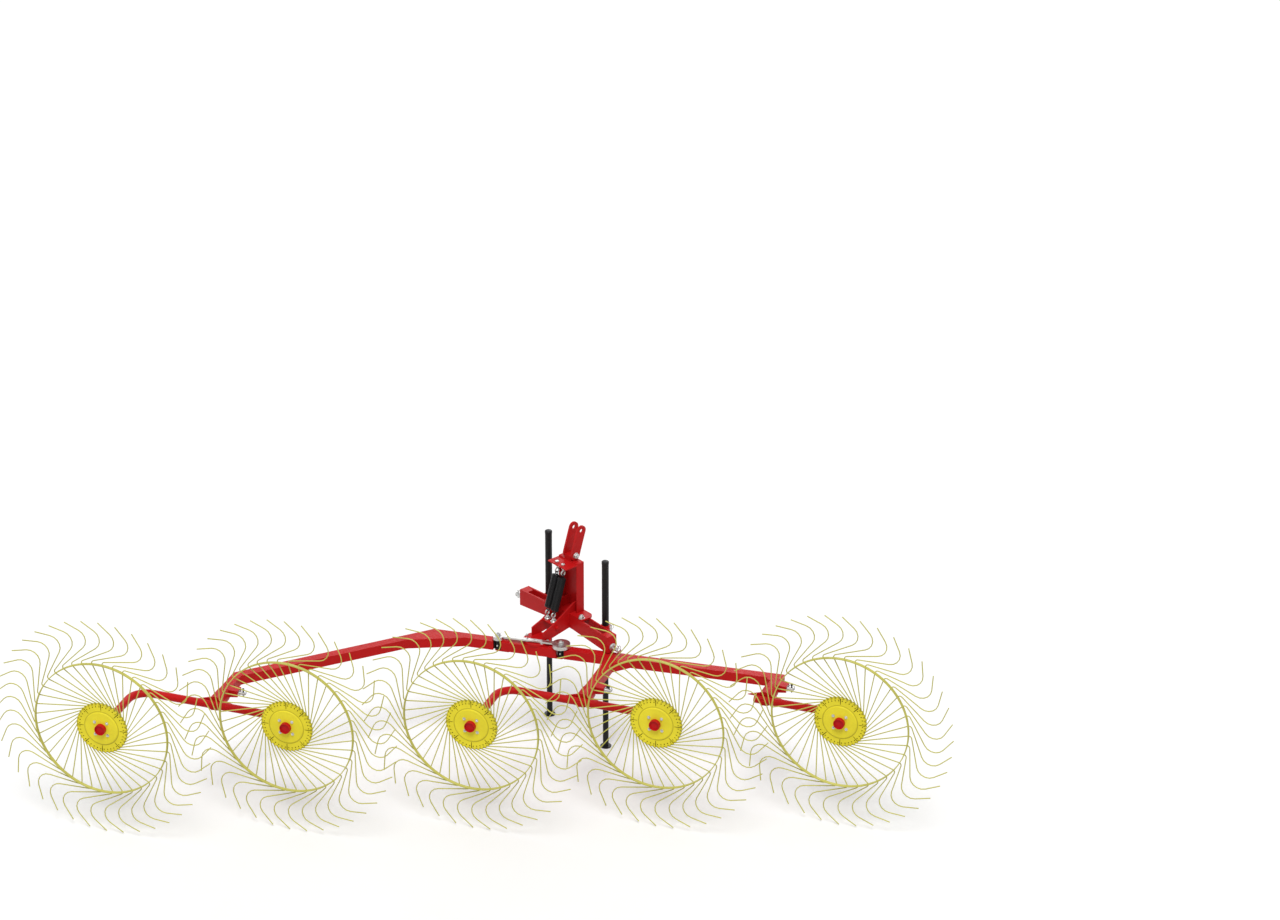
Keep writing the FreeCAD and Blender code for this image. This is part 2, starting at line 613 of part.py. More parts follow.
def socket(side):
    """Clamp of a stand tube and its web to the hitch arm."""
    low = arms_low + SOCKET_RISE
    place = Vector(mast_x + side * STAND_SPREAD / 2.0, stand_y, low)
    outer = Part.makeCylinder(STAND_TUBE_RADIUS + SOCKET_WALL, SOCKET_HEIGHT, place)
    web = block(place.x - SOCKET_WEB / 2.0, place.x + SOCKET_WEB / 2.0, arm_front, stand_y,
                low, low + SOCKET_HEIGHT)
    return outer.fuse(web).cut(Part.makeCylinder(STAND_TUBE_RADIUS + SOCKET_CLEARANCE, SOCKET_HEIGHT, place))


hitch = saddle().fuse([hitch_arm(-1), hitch_arm(1), socket(-1), socket(1)])
save("hitch_arms", hitch.removeSplitter())

leg_height = arms_low + STAND_TUBE_HEIGHT - STAND_CAP - STAND_END_GAP - STAND_TRAVEL
for name, side in (("left", -1), ("right", 1)):
    start = Vector(mast_x + side * LINK_SPREAD / 2.0, LINK_Y, link_height)
    save(name + "_link_pin", rod(start, start + Vector(side * LINK_PIN_LENGTH, 0, 0), LINK_PIN_RADIUS))
    place = Vector(mast_x + side * STAND_SPREAD / 2.0, stand_y, 0)
    tube_low = place + UP * arms_low
    tube = Part.makeCylinder(STAND_TUBE_RADIUS, STAND_TUBE_HEIGHT, tube_low)
    bore = Part.makeCylinder(STAND_RADIUS + STAND_CLEARANCE, STAND_TUBE_HEIGHT - STAND_CAP, tube_low)
    save(name + "_stand_tube", tube.cut(bore))
    leg = Part.makeCylinder(STAND_RADIUS, leg_height, place)
    foot = Part.makeCylinder(STAND_FOOT_RADIUS, STAND_FOOT_THICKNESS, place)
    save(name + "_stand", leg.fuse(foot))


def float_arm():
    """Arm from the mast's foot back and down to the plate on the middle beam."""
    half = FLOAT_ARM_WIDTH / 2.0
    bar_front = middle.y + half * math.tan(math.radians(BEAM_ANGLE)) + TIE_BAR_WIDTH / 2.0 / cosd(BEAM_ANGLE)
    heel = bar_front + TIE_BAR_CLEARANCE
    web_rear = mast_front - MAST_PLATE
    outline = [(mast_rear, mast_foot + FLOAT_ARM_ROOT), (web_rear, mast_foot + FLOAT_ARM_ROOT),
               (web_rear, mast_foot), (arm_rear, mast_foot), (arm_rear, root_low),
               (heel + FLOAT_ARM_FOOT, base_top), (heel, base_top), (heel, base_top + FLOAT_ARM_HEEL),
               (lower_eye.y - SHELF_EDGE, bracket_height)]
    plates = [side_plate(mast_x - half, FLOAT_ARM_PLATE, outline),
              side_plate(mast_x + half - FLOAT_ARM_PLATE, FLOAT_ARM_PLATE, outline)]
    bracket = block(mast_x - half, mast_x + half, lower_eye.y - SHELF_EDGE, lower_eye.y + SHELF_EDGE,
                    bracket_height - SHELF_THICKNESS, bracket_height)
    base = Part.makeCylinder(BASE_PLATE_RADIUS, BASE_PLATE_THICKNESS, Vector(mast_x, base_y, beam_top))
    return base.fuse(plates + [bracket]).removeSplitter()


save("float_arm", float_arm())

shift = Vector(SPRING_SPREAD / 2.0, 0, 0)
spring_top = upper_eye - UP * UPPER_EYE_LENGTH
spring_foot = lower_eye + UP * LOWER_EYE_LENGTH
springs = []
eyebolts = []
for offset in (shift * -1, shift):
    upper = rod(spring_top + offset, upper_eye + offset, EYEBOLT_RADIUS)
    lower = rod(lower_eye + offset, spring_foot + offset, EYEBOLT_RADIUS)
    spring = rod(spring_foot + offset, spring_top + offset, SPRING_RADIUS)
    springs.append(spring.cut(upper.fuse(lower)))
    eyebolts += [upper, lower]
save("springs", Part.makeCompound(springs))
save("spring_eyebolts", Part.makeCompound(eyebolts))
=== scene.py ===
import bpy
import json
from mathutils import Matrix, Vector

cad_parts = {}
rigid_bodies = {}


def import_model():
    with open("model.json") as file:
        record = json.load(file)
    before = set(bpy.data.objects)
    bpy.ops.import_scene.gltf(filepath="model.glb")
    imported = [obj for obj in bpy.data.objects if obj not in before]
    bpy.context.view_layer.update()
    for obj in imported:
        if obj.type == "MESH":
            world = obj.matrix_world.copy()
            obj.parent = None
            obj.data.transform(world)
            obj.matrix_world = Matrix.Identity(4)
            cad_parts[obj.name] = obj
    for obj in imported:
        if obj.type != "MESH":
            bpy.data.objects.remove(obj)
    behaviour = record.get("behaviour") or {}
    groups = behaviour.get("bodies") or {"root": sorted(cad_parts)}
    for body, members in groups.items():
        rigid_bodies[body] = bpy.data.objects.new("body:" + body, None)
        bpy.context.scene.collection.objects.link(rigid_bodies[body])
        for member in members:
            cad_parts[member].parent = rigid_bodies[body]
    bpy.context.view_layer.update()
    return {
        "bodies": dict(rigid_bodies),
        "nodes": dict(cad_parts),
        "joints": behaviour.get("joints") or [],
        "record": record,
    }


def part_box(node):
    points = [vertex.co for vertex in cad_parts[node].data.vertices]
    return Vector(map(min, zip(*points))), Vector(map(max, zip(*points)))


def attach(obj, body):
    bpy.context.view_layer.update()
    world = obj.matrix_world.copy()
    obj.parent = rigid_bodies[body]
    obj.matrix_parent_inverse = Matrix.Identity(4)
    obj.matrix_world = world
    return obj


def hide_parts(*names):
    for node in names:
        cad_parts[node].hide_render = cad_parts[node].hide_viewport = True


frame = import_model()

import json
import math
from collections import namedtuple
from types import SimpleNamespace

import bmesh
import bpy
from bpy.props import FloatProperty, FloatVectorProperty, IntProperty, PointerProperty
from bpy.types import Operator, Panel, PropertyGroup
from mathutils import Matrix, Vector

bl_info = {
    "name": "Finger-wheel rake dresser",
    "version": (1, 0, 0),
    "blender": (4, 5, 0),
    "location": "3D View > Sidebar > Rake",
    "description": "Finishes and fine pieces for a mounted finger-wheel rake and tedder",
    "category": "Object",
}

# ---------------------------------------------------------------- places read from the frame
UP = Vector((0.0, 0.0, 1.0))
RIGHT = Vector((1.0, 0.0, 0.0))
AHEAD = Vector((0.0, 1.0, 0.0))
JOINTS = {joint["name"]: joint for joint in frame["joints"]}
WHEELS = [name for name in sorted(frame["bodies"]) if name.startswith("wheel_")]
BACK = Vector(JOINTS[WHEELS[0] + "_spin"]["axis"]).normalized()     # out of the wheels, to the rear
ALONG = UP.cross(BACK).normalized()                                 # along a wheel's plane, to the right
if ALONG.x < 0:
    ALONG.negate()
HINGES = {side: Vector(JOINTS[side + "_wing_swing"]["pos_m"]) for side in ("left", "right")}
BEAM = (HINGES["right"] - HINGES["left"]).normalized()              # along the middle beam, to the right
ARMS = {WHEELS[1]: "left_wing", WHEELS[3]: "right_wing", WHEELS[4]: "right_wing"}   # by an arm's right wheel


def hub(wheel):
    """Centre of a wheel, on its own spin axis."""
    return Vector(JOINTS[wheel + "_spin"]["pos_m"])


def pivot(wheel):
    """Point of an arm's pivot axis in the plane of the wheel at the arm's right end."""
    pitch = (hub(WHEELS[1]) - hub(WHEELS[0])).dot(ALONG)
    return hub(wheel) - ALONG * (pitch / 2.0)


def low(node):
    return Vector(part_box(node)[0])


def high(node):
    return Vector(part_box(node)[1])


def middle(node):
    return (low(node) + high(node)) / 2.0


# ---------------------------------------------------------------- sizes and colours
def length(name, description, default):
    return FloatProperty(name=name, description=description, default=default, min=0.0, unit="LENGTH")


def turn(name, description, degrees):
    return FloatProperty(name=name, description=description, default=math.radians(degrees), unit="ROTATION")


def tone(name, description, default):
    return FloatVectorProperty(name=name, description=description, subtype="COLOR", default=default,
                               min=0.0, max=1.0)


class RakeSizes(PropertyGroup):
    """Sizes of the pieces that this file adds, in metres"""
    tine_count: IntProperty(name="Tines", description="Tines on one wheel", default=40, min=3)
    tine_wire: length("Tine wire", "Thickness of a tine", 0.0065)
    tine_start: length("Tine start", "Wheel centre to the inner end of a tine", 0.152)
    spoke_offset: length("Spoke offset", "Wheel centre to the line of a tine's inner run", 0.139)
    tine_kink: length("Tine kink", "Wheel centre to the kink outside the ring", 0.4375)
    tine_bend: length("Tine bend", "Wheel centre to the corner of the bent end", 0.588)
    bend_lag: turn("Bend lag", "Kink to bend, about the wheel", 31.2)
    tip_lag: turn("Tip lag", "Kink to tip, about the wheel", 16.3)
    bend_radius: length("Bend radius", "Radius of a tine's bend", 0.069)
    ring_radius: length("Ring radius", "Wheel centre to the ring that ties the tines", 0.424)
    ring_bar: length("Ring bar", "Thickness of the ring's flat bar", 0.0055)
    ring_width: length("Ring width", "Width of the ring's flat bar", 0.020)
    tube_edge: length("Tube edge", "Rounded edge of the square tubes", 0.005)
    plate_edge: length("Plate edge", "Rounded edge of plates and turned parts", 0.0015)
    disc_radius: length("Disc radius", "Outer radius of a wheel's disc", 0.163)
    disc_thickness: length("Disc thickness", "Thickness of the disc's rim", 0.016)
    disc_gap: length("Disc gap", "Gap between the disc's plates, for the tines", 0.0085)
    disc_core: length("Disc core", "Radius of the disc's core between its plates", 0.1475)
    disc_step: length("Disc step", "Rise of the disc's middle", 0.006)
    disc_step_radius: length("Disc step radius", "Radius of the raised middle", 0.104)
    disc_facets: IntProperty(name="Disc facets", description="Facets round the disc", default=80, min=16)
    disc_edge: length("Disc edge", "Bevel of the disc's edges", 0.0028)
    scallop: FloatProperty(name="Scallop", description="Share of the radius left in the rim's hollows",
                           default=0.972, min=0.5, max=1.0)
    groove_count: IntProperty(name="Grooves", description="Pressed grooves on one disc", default=8, min=1)
    groove_border: length("Groove border", "Flat between a groove and its facet's edge", 0.0028)
    groove_depth: length("Groove depth", "Depth of the disc's pressed grooves", 0.0045)
    notch_start: length("Notch start", "Wheel centre to the notches of the tines' ends", 0.134)
    notch_border: length("Notch border", "Flat between a notch and its facet's edge", 0.0024)
    notch_depth: length("Notch depth", "Depth of the notches", 0.0065)
    seam_width: length("Seam width", "Flat at the foot of the raised middle", 0.003)
    cap_wall: length("Cap wall", "Wall of the hub cap round its hollow end", 0.005)
    cap_hollow: length("Cap hollow", "Depth of the hub cap's hollow end", 0.010)
    hub_bolt_radius: length("Hub bolt radius", "Wheel centre to the bolts", 0.056)
    hub_bolt_turn: turn("Hub bolt turn", "Place of the first bolt round the hub", 47.0)
    hub_bolt_count: IntProperty(name="Hub bolts", description="Bolts round one hub", default=4, min=1)
    spring_radius: length("Spring radius", "Outer radius of a spring", 0.0255)
    spring_wire: length("Spring wire", "Thickness of the spring's wire", 0.006)
    spring_spread: length("Spring spread", "Spring to spring", 0.056)
    hook_radius: length("Hook radius", "Radius of a spring's hook", 0.011)
    hook_length: length("Hook length", "Straight of a spring's hook", 0.010)
    eyebolt_radius: length("Eyebolt radius", "Radius of the frame's eyebolt solids", 0.008)
    eye_radius: length("Eye radius", "Radius of an eyebolt's ring", 0.014)
    eye_wire: length("Eye wire", "Thickness of an eyebolt's ring", 0.009)
    eye_nut: length("Eye nut", "Across the flats of an eyebolt's nut", 0.022)
    shelf_plate: length("Shelf plate", "Thickness of the shelves of the springs", 0.008)
    upper_eye_drop: length("Upper eye drop", "Upper shelf to the middle of the eye", 0.045)
    lower_eye_rise: length("Lower eye rise", "Lower shelf to the middle of the eye", 0.049)
    linch_wire: length("Linch wire", "Thickness of a linch pin's ring", 0.0032)
    linch_ring: length("Linch ring", "Radius of a linch pin's ring", 0.019)
    lock_reach: length("Lock reach", "Leg's middle to the face of the lock bracket", 0.088)
    lock_ahead: length("Lock ahead", "Wheel's plane to the middle of the lock bracket", 0.262)
    lock_hole: length("Lock hole", "Face of the lock bracket to the linch pin", 0.026)
    lock_rise: length("Lock rise", "Hub height to the lock pin", 0.008)
    link_reach: length("Link reach", "Foot of a lower link pin to its end", 0.070)
    link_hole: length("Link hole", "Foot of a lower link pin to its linch pin", 0.058)
    cheek_radius: length("Cheek radius", "Rounded end of the upper link's cheeks", 0.033)
    saddle_setback: length("Saddle setback", "Mast's middle back to the saddle bolts", 0.006)
    saddle_bolt: length("Saddle bolt", "Mast's middle to a saddle bolt", 0.150)
    base_radius: length("Base radius", "Radius of the base plate", 0.085)
    base_thickness: length("Base thickness", "Thickness of the base plate", 0.015)
    base_bolt: length("Base bolt", "Mast's middle to a base plate's bolt", 0.069)
    base_spread: length("Base spread", "Base plate's middle to a bolt, fore or aft", 0.024)
    bracket_drop: length("Bracket drop", "Lower eyebolts to the side bolts", 0.026)
    float_arm_width: length("Float arm width", "Width over the float arm's plates", 0.112)
    stand_pin_rise: length("Stand pin rise", "Foot of a stand tube to its pin", 0.055)
    stand_pin_hole: length("Stand pin hole", "Hitch arm's face to a stand pin's linch pin", 0.018)
    nipple_seat: length("Nipple seat", "Hinge's axis to its grease nipple", 0.0205)
    arm_tube: length("Arm tube", "Radius of the rocking arms' tube", 0.024)
    arm_setback: length("Arm setback", "Wheel's plane to the middle of the arm tube", 0.090)
    pivot_nut: length("Pivot nut", "Across the flats of a pivot's nut", 0.030)
    arm_overhang: length("Arm overhang", "Arm tube past the wheel's spindle", 0.034)


class RakeColours(PropertyGroup):
    """Colours of the finishes"""
    red_paint: tone("Red paint", "Frame, mast and arms", (0.50, 0.007, 0.008))
    wheel_yellow: tone("Wheel yellow", "Discs of the wheels", (0.84, 0.72, 0.035))
    tine_yellow: tone("Tine yellow", "Tines and rings", (0.56, 0.53, 0.115))
    black_paint: tone("Black paint", "Stands, springs and hinges", (0.009, 0.009, 0.010))
    # Painted shade: a dark tone painted into the discs' rim hollows, the gap between their plates and the
    # seam, where shade falls
    grime: tone("Grime", "Old oil and dust on the discs", (0.13, 0.10, 0.006))
    zinc: tone("Zinc", "Plated bolts, pins and bars", (0.60, 0.60, 0.59))


# ---------------------------------------------------------------- small standard parts
Bolt = namedtuple("Bolt", "washer plate across nut stud")     # washer's radius and thickness, then the nut
HUB_BOLT = Bolt(washer=0.0098, plate=0.0018, across=0.013, nut=0.0065, stud=0.003)
CHEEK_BOLT = Bolt(washer=0.019, plate=0.003, across=0.030, nut=0.013, stud=0.006)
SADDLE_BOLT = Bolt(washer=0.020, plate=0.003, across=0.030, nut=0.013, stud=0.008)
BASE_BOLT = Bolt(washer=0.0105, plate=0.002, across=0.016, nut=0.008, stud=0.003)
BRACKET_BOLT = Bolt(washer=0.0145, plate=0.0025, across=0.022, nut=0.010, stud=0.004)
TIE_BOLT = Bolt(washer=0.0185, plate=0.003, across=0.027, nut=0.011, stud=0.006)

# Washers, as radius and thickness
LOCK_WASHER = (0.0185, 0.004)
EYE_WASHER = (0.016, 0.003)

# Small turned parts, as (distance along the axis, radius) steps
EYE_COLLAR = ((0.0, 0.0175), (0.002, 0.0195), (0.012, 0.0195))
LINCH_PIN = ((-0.022, 0.003), (-0.019, 0.0045), (0.022, 0.0045), (0.026, 0.007), (0.033, 0.007),
             (0.035, 0.005))
LINCH_EYE = 0.0295                  # middle of the pin to the middle of its head, where the ring starts
LINCH_TURN = math.radians(325.0)    # of that open ring
LOCK_PIN = ((0.0, 0.0105), (0.036, 0.0105), (0.039, 0.008))
STAND_PIN = ((-0.004, 0.012), (0.006, 0.012), (0.008, 0.0075), (0.022, 0.0075), (0.024, 0.006))
PIVOT_WASHER = ((-0.004, 0.022), (0.002, 0.022), (0.003, 0.0205))
GREASE_NIPPLE = ((0.0, 0.0045), (0.003, 0.0045), (0.004, 0.0028), (0.007, 0.0028), (0.0085, 0.0036),
                 (0.0105, 0.002))

# The same for what fits a tube, with the radius counted from the tube's own
STAND_CAP = ((-0.014, 0.0012), (0.002, 0.0012), (0.005, -0.002), (0.006, -0.006))
ARM_PLUG = ((-0.002, -0.001), (0.003, -0.0015), (0.0055, -0.005))


# ---------------------------------------------------------------- modelling, as by hand
MERGE = 0.00002     # points closer than this become one


def take_up(piece):
    """Puts a piece in the scene, active and with nothing else selected."""
    if bpy.context.mode != "OBJECT":
        bpy.ops.object.mode_set(mode="OBJECT")
    bpy.ops.object.select_all(action="DESELECT")
    bpy.context.scene.collection.objects.link(piece)
    bpy.context.view_layer.objects.active = piece
    piece.select_set(True)


def start_piece(name):
    """An empty piece in edit mode."""
    piece = bpy.data.objects.new(name, bpy.data.meshes.new(name))
    take_up(piece)
    bpy.ops.object.mode_set(mode="EDIT")
    bpy.ops.mesh.select_mode(type="FACE")
    return piece


def facing(direction):
    return direction.to_track_quat("Z", "Y").to_euler()


def add_section(place, direction, radius, sides=6):
    """A flat round section across a direction, ready to sweep."""
    bpy.ops.mesh.primitive_circle_add(vertices=sides, radius=radius, fill_type="NGON", location=place,
                                      rotation=facing(direction))


def sweep_run(vector):
    bpy.ops.mesh.extrude_region_move(TRANSFORM_OT_translate={"value": vector})


def sweep_arc(centre, axis, angle, steps):
    """Sweeps the selected face about an axis, anticlockwise seen from the axis's tip."""
    bpy.ops.mesh.spin(steps=steps, angle=-angle, center=centre, axis=axis)


def resize(factor, centre):
    bpy.ops.transform.resize(value=(factor, factor, factor), center_override=centre)


def add_turned(place, direction, profile, sides=24):
    """A turned solid from (distance, radius) steps along its axis."""
    start, radius = profile[0]
    add_section(place + direction * start, direction, radius, sides)
    for reach, wide in profile[1:]:
        sweep_run(direction * (reach - start))
        if wide != radius:
            resize(wide / radius, place + direction * reach)
        start, radius = reach, wide


def fitted(profile, radius):
    """A profile with a tube's own radius added to each step."""
    return [(reach, radius + wider) for reach, wider in profile]


def add_nut(place, direction, across, thickness, stand_out=0.0):
    """Hexagon nut with its chamfer; stand_out is how far its stud stands out of it."""
    corner = across / math.sqrt(3.0)
    add_turned(place, direction, [(0.0, corner), (thickness * 0.82, corner), (thickness, corner * 0.86)], 6)
    if stand_out:
        stud = across * 0.3
        add_turned(place + direction * thickness, direction,
                   [(-thickness * 0.2, stud), (stand_out * 0.8, stud), (stand_out, stud * 0.75)], 10)


def add_washer(place, direction, radius, thickness):
    add_turned(place, direction, [(0.0, radius), (thickness * 0.8, radius), (thickness, radius * 0.94)], 20)


def add_bolt(face, out, bolt):
    """Washer, nut and stud of a bolt that comes out of a face."""
    add_washer(face, out, bolt.washer, bolt.plate)
    add_nut(face + out * bolt.plate, out, bolt.across, bolt.nut, bolt.stud)


def clean(angle):
    """Merges, orients and shades the piece in edit mode, smooth below angle degrees, and leaves that mode."""
    bpy.ops.mesh.select_all(action="SELECT")
    bpy.ops.mesh.remove_doubles(threshold=MERGE)
    bpy.ops.mesh.normals_make_consistent(inside=False)
    bpy.ops.object.mode_set(mode="OBJECT")
    bpy.ops.object.shade_smooth_by_angle(angle=math.radians(angle))


def end_piece(piece, finish_name, body, nodes=(), angle=35.0):
    """Cleans a piece, gives it its finish and hangs it on its body."""
    clean(angle)
    settle(piece, finish_name, body, nodes)


def settle(piece, finish_name, body, nodes=()):
    """Finish and body of a piece, and the frame's nodes that it stands for."""
    dress(piece, finish_name)
    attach(piece, body)
    if nodes:
        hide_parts(*nodes)


def place_copy(pattern, name, matrix):
    """A copy of a finished pattern with its own mesh, its place put into the mesh."""
    piece = pattern.copy()
    piece.data = pattern.data.copy()
    piece.name = name
    piece.data.name = name
    take_up(piece)
    piece.matrix_world = matrix
    bpy.ops.object.transform_apply(location=True, rotation=True, scale=True)
    return piece


def add_hoop(centre, axis, radius, wire, steps):
    """A closed ring of round wire about an axis."""
    out = axis.orthogonal().normalized()
    bpy.ops.mesh.select_mode(type="EDGE")
    bpy.ops.mesh.primitive_circle_add(vertices=8, radius=wire / 2.0, fill_type="NOTHING",
                                      location=centre + out * radius, rotation=facing(axis.cross(out)))
    bpy.ops.mesh.spin(steps=steps, angle=2.0 * math.pi, center=centre, axis=axis)
    bpy.ops.mesh.select_mode(type="FACE")


def add_band(centre, axis, radius, thickness, width, steps):
    """A closed ring of flat bar, bent on its flat about an axis."""
    outer = radius + thickness / 2.0
    inner = radius - thickness / 2.0
    bpy.ops.mesh.select_mode(type="EDGE")
    bpy.ops.mesh.primitive_circle_add(vertices=steps, radius=outer, fill_type="NOTHING", location=centre,
                                      rotation=facing(axis))
    level = 0.0
    for rise, factor in ((width, 1.0), (0.0, inner / outer), (-width, 1.0), (0.0, outer / inner)):
        level += rise
        sweep_run(axis * rise)
        if factor != 1.0:
            resize(factor, centre + axis * level)
    bpy.ops.mesh.select_mode(type="FACE")


def add_wire(points, bends, wire, steps=4):
    """Round wire along points, with an arc of the given radius at each point between the ends."""
    add_section(points[0], points[1] - points[0], wire / 2.0)
    place = points[0]
    for corner, following, bend in zip(points[1:-1], points[2:], bends):
        ahead = (corner - place).normalized()
        after = (following - corner).normalized()
        angle = ahead.angle(after)
        axis = ahead.cross(after).normalized()
        arc_start = corner - ahead * (bend * math.tan(angle / 2.0))
        sweep_run(arc_start - place)
        centre = arc_start + axis.cross(ahead) * bend
        sweep_arc(centre, axis, angle, steps)
        place = corner + after * (bend * math.tan(angle / 2.0))
    sweep_run(points[-1] - place)


def select_faces(piece, test):
    """Selects the faces whose centre and normal pass a test."""
    bpy.ops.mesh.select_all(action="DESELECT")
    shape = bmesh.from_edit_mesh(piece.data)
    for face in shape.faces:
        if test(face.calc_center_median(), face.normal):
            face.select_set(True)
    bmesh.update_edit_mesh(piece.data)


def repeat_round(count):
    """Copies all of the piece in edit mode round the Z axis, to make count of it."""
    bpy.ops.mesh.select_all(action="SELECT")
    step = 2.0 * math.pi / count
    bpy.ops.mesh.spin(steps=count - 1, dupli=True, angle=step * (count - 1), center=(0, 0, 0), axis=(0, 0, 1))


def wheel_place(wheel):
    """Turns a wheel modelled flat about the origin, facing up, into its place."""
    tilt = Matrix((ALONG, UP, BACK)).transposed().to_4x4()
    return Matrix.Translation(hub(wheel)) @ tilt


# ---------------------------------------------------------------- finishes
# Name of the mesh attribute that marks where painted shade goes on the discs
PAINTED_SHADE = "grime"


def new_material(name):
    material = bpy.data.materials.new(name)
    material.use_nodes = True
    nodes = material.node_tree.nodes
    shader = nodes["Principled BSDF"]
    return material, nodes, material.node_tree.links, shader


def object_noise(nodes, links, scale, detail, roughness=0.5):
    place = nodes.new("ShaderNodeTexCoord")
    noise = nodes.new("ShaderNodeTexNoise")
    noise.inputs["Scale"].default_value = scale
    noise.inputs["Detail"].default_value = detail
    noise.inputs["Roughness"].default_value = roughness
    links.new(place.outputs["Object"], noise.inputs["Vector"])
    return noise


def spread(nodes, links, texture, least, most):
    """A noise texture's values, mapped to a range."""
    mapper = nodes.new("ShaderNodeMapRange")
    mapper.inputs["From Min"].default_value = 0.3
    mapper.inputs["From Max"].default_value = 0.7
    mapper.inputs["To Min"].default_value = least
    mapper.inputs["To Max"].default_value = most
    links.new(texture.outputs["Fac"], mapper.inputs["Value"])
    return mapper.outputs["Result"]


def tinted(colour, factor):
    return tuple(min(1.0, channel * factor) for channel in colour) + (1.0,)


def cloudy(nodes, links, cloud, colour, darker, lighter):
    """A colour that drifts between a darker and a lighter tone of itself."""
    mix = nodes.new("ShaderNodeMix")
    mix.data_type = "RGBA"
    mix.inputs["A"].default_value = tinted(colour, darker)
    mix.inputs["B"].default_value = tinted(colour, lighter)
    links.new(spread(nodes, links, cloud, 0.0, 1.0), mix.inputs["Factor"])
    return mix.outputs["Result"]


def roughen(nodes, links, shader, scale, strength, distance):
    """Fine grain on a finish, as bump."""
    grain = object_noise(nodes, links, scale, 2.0)
    bump = nodes.new("ShaderNodeBump")
    bump.inputs["Strength"].default_value = strength
    bump.inputs["Distance"].default_value = distance
    links.new(grain.outputs["Fac"], bump.inputs["Height"])
    links.new(bump.outputs["Normal"], shader.inputs["Normal"])


def paint(name, colour, roughness=0.42, peel=0.05, shine=0.14, grime=None):
    """Sprayed enamel: slight cloudiness, uneven gloss and orange peel, with painted shade where a piece is
    marked.
    """
    material, nodes, links, shader = new_material(name)
    cloud = object_noise(nodes, links, 6.0, 4.0, 0.6)
    colour_out = cloudy(nodes, links, cloud, colour, 0.88, 1.06)
    # Painted shade: points marked on the mesh are darkened towards the shade tone
    if grime:
        shade_mask = nodes.new("ShaderNodeAttribute")
        shade_mask.attribute_name = PAINTED_SHADE
        shade_mix = nodes.new("ShaderNodeMix")
        shade_mix.data_type = "RGBA"
        shade_mix.inputs["B"].default_value = tinted(grime, 1.0)
        links.new(shade_mask.outputs["Fac"], shade_mix.inputs["Factor"])
        links.new(colour_out, shade_mix.inputs["A"])
        colour_out = shade_mix.outputs["Result"]
    links.new(colour_out, shader.inputs["Base Color"])
    gloss = object_noise(nodes, links, 45.0, 2.0)
    links.new(spread(nodes, links, gloss, roughness - 0.07, roughness + 0.08), shader.inputs["Roughness"])
    roughen(nodes, links, shader, 420.0, peel, 0.0004)
    shader.inputs["Specular IOR Level"].default_value = shine
    return material


def plated(name, colour):
    """Zinc plating: cloudy bright metal with a fine grain."""
    material, nodes, links, shader = new_material(name)
    cloud = object_noise(nodes, links, 60.0, 5.0, 0.65)
    links.new(cloudy(nodes, links, cloud, colour, 0.78, 1.12), shader.inputs["Base Color"])
    links.new(spread(nodes, links, cloud, 0.24, 0.46), shader.inputs["Roughness"])
    roughen(nodes, links, shader, 900.0, 0.12, 0.0003)
    shader.inputs["Metallic"].default_value = 1.0
    return material


FINISHES = {}


def material_of(name):
    """The material of a finish, made once."""
    if name not in FINISHES:
        colours = bpy.context.scene.rake_colours
        if name == "red_paint":
            FINISHES[name] = paint("red_enamel", colours.red_paint)
        elif name == "hub_disc":
            # The discs' yellow carries painted shade at the points that the discs mark
            FINISHES[name] = paint("yellow_enamel", colours.wheel_yellow, 0.36, grime=colours.grime)
        elif name == "tines":
            FINISHES[name] = paint("tine_enamel", colours.tine_yellow, 0.45, 0.03)
        elif name in ("stands", "springs", "hinges"):
            FINISHES[name] = paint("black_enamel_" + name, colours.black_paint, 0.4, shine=0.2)
        elif name == "zinc":
            FINISHES[name] = plated("zinc_plate", colours.zinc)
        else:
            raise ValueError("no finish is called " + name)
    return FINISHES[name]


def dress(piece, name):
    piece.data.materials.clear()
    piece.data.materials.append(material_of(name))


# ---------------------------------------------------------------- the frame's own pieces
SHARP = math.radians(40.0)      # edges sharper than this are rounded
FLAT = math.radians(1.0)        # faces that meet flatter than this become one


def soften(node, width, finish_name, body, shape=None):
    """A copy of a frame piece with its edges rounded, which then stands for it; shape adds a last form."""
    piece = bpy.data.objects.new(node + "_rounded", frame["nodes"][node].data.copy())
    take_up(piece)
    bpy.ops.object.mode_set(mode="EDIT")
    bpy.ops.mesh.select_all(action="SELECT")
    bpy.ops.mesh.remove_doubles(threshold=MERGE)
    bpy.ops.mesh.dissolve_limited(angle_limit=FLAT)
    if shape:
        shape(piece)
    bpy.ops.object.mode_set(mode="OBJECT")
    bpy.ops.object.modifier_add(type="BEVEL")
    bevel = piece.modifiers[-1]
    bevel.limit_method = "ANGLE"
    bevel.angle_limit = SHARP
    bevel.width = width
    bevel.segments = 2
    bpy.ops.object.modifier_apply(modifier=bevel.name)
    bpy.ops.object.shade_smooth_by_angle(angle=SHARP)
    bpy.ops.object.modifier_add(type="WEIGHTED_NORMAL")
    piece.modifiers[-1].keep_sharp = True
    bpy.ops.object.modifier_apply(modifier=piece.modifiers[-1].name)
    settle(piece, finish_name, body, [node])
    return piece


def body_with(node):
    return next(body for body, names in frame["record"]["behaviour"]["bodies"].items() if node in names)


def hollow_cap(piece):
    """Hollows the rear end of a hub cap."""
    sizes = bpy.context.scene.rake_sizes
    reach = max(corner.co.dot(BACK) for corner in piece.data.vertices)
    bpy.ops.mesh.select_mode(type="FACE")
    select_faces(piece, lambda centre, normal: normal.dot(BACK) > 0.99 and reach - centre.dot(BACK) < 0.0005)
    bpy.ops.mesh.inset(thickness=sizes.cap_wall)
    sweep_run(BACK * -sizes.cap_hollow)


class RAKE_OT_finish_frame(Operator):
    """Gives every piece of the frame its finish"""
    bl_idname = "rake.finish_frame"
    bl_label = "Finish the frame"

    def execute(self, context):
        for part in frame["record"]["subparts"]:
            dress(frame["nodes"][part["node"]], part["material_slot"])
        return {"FINISHED"}


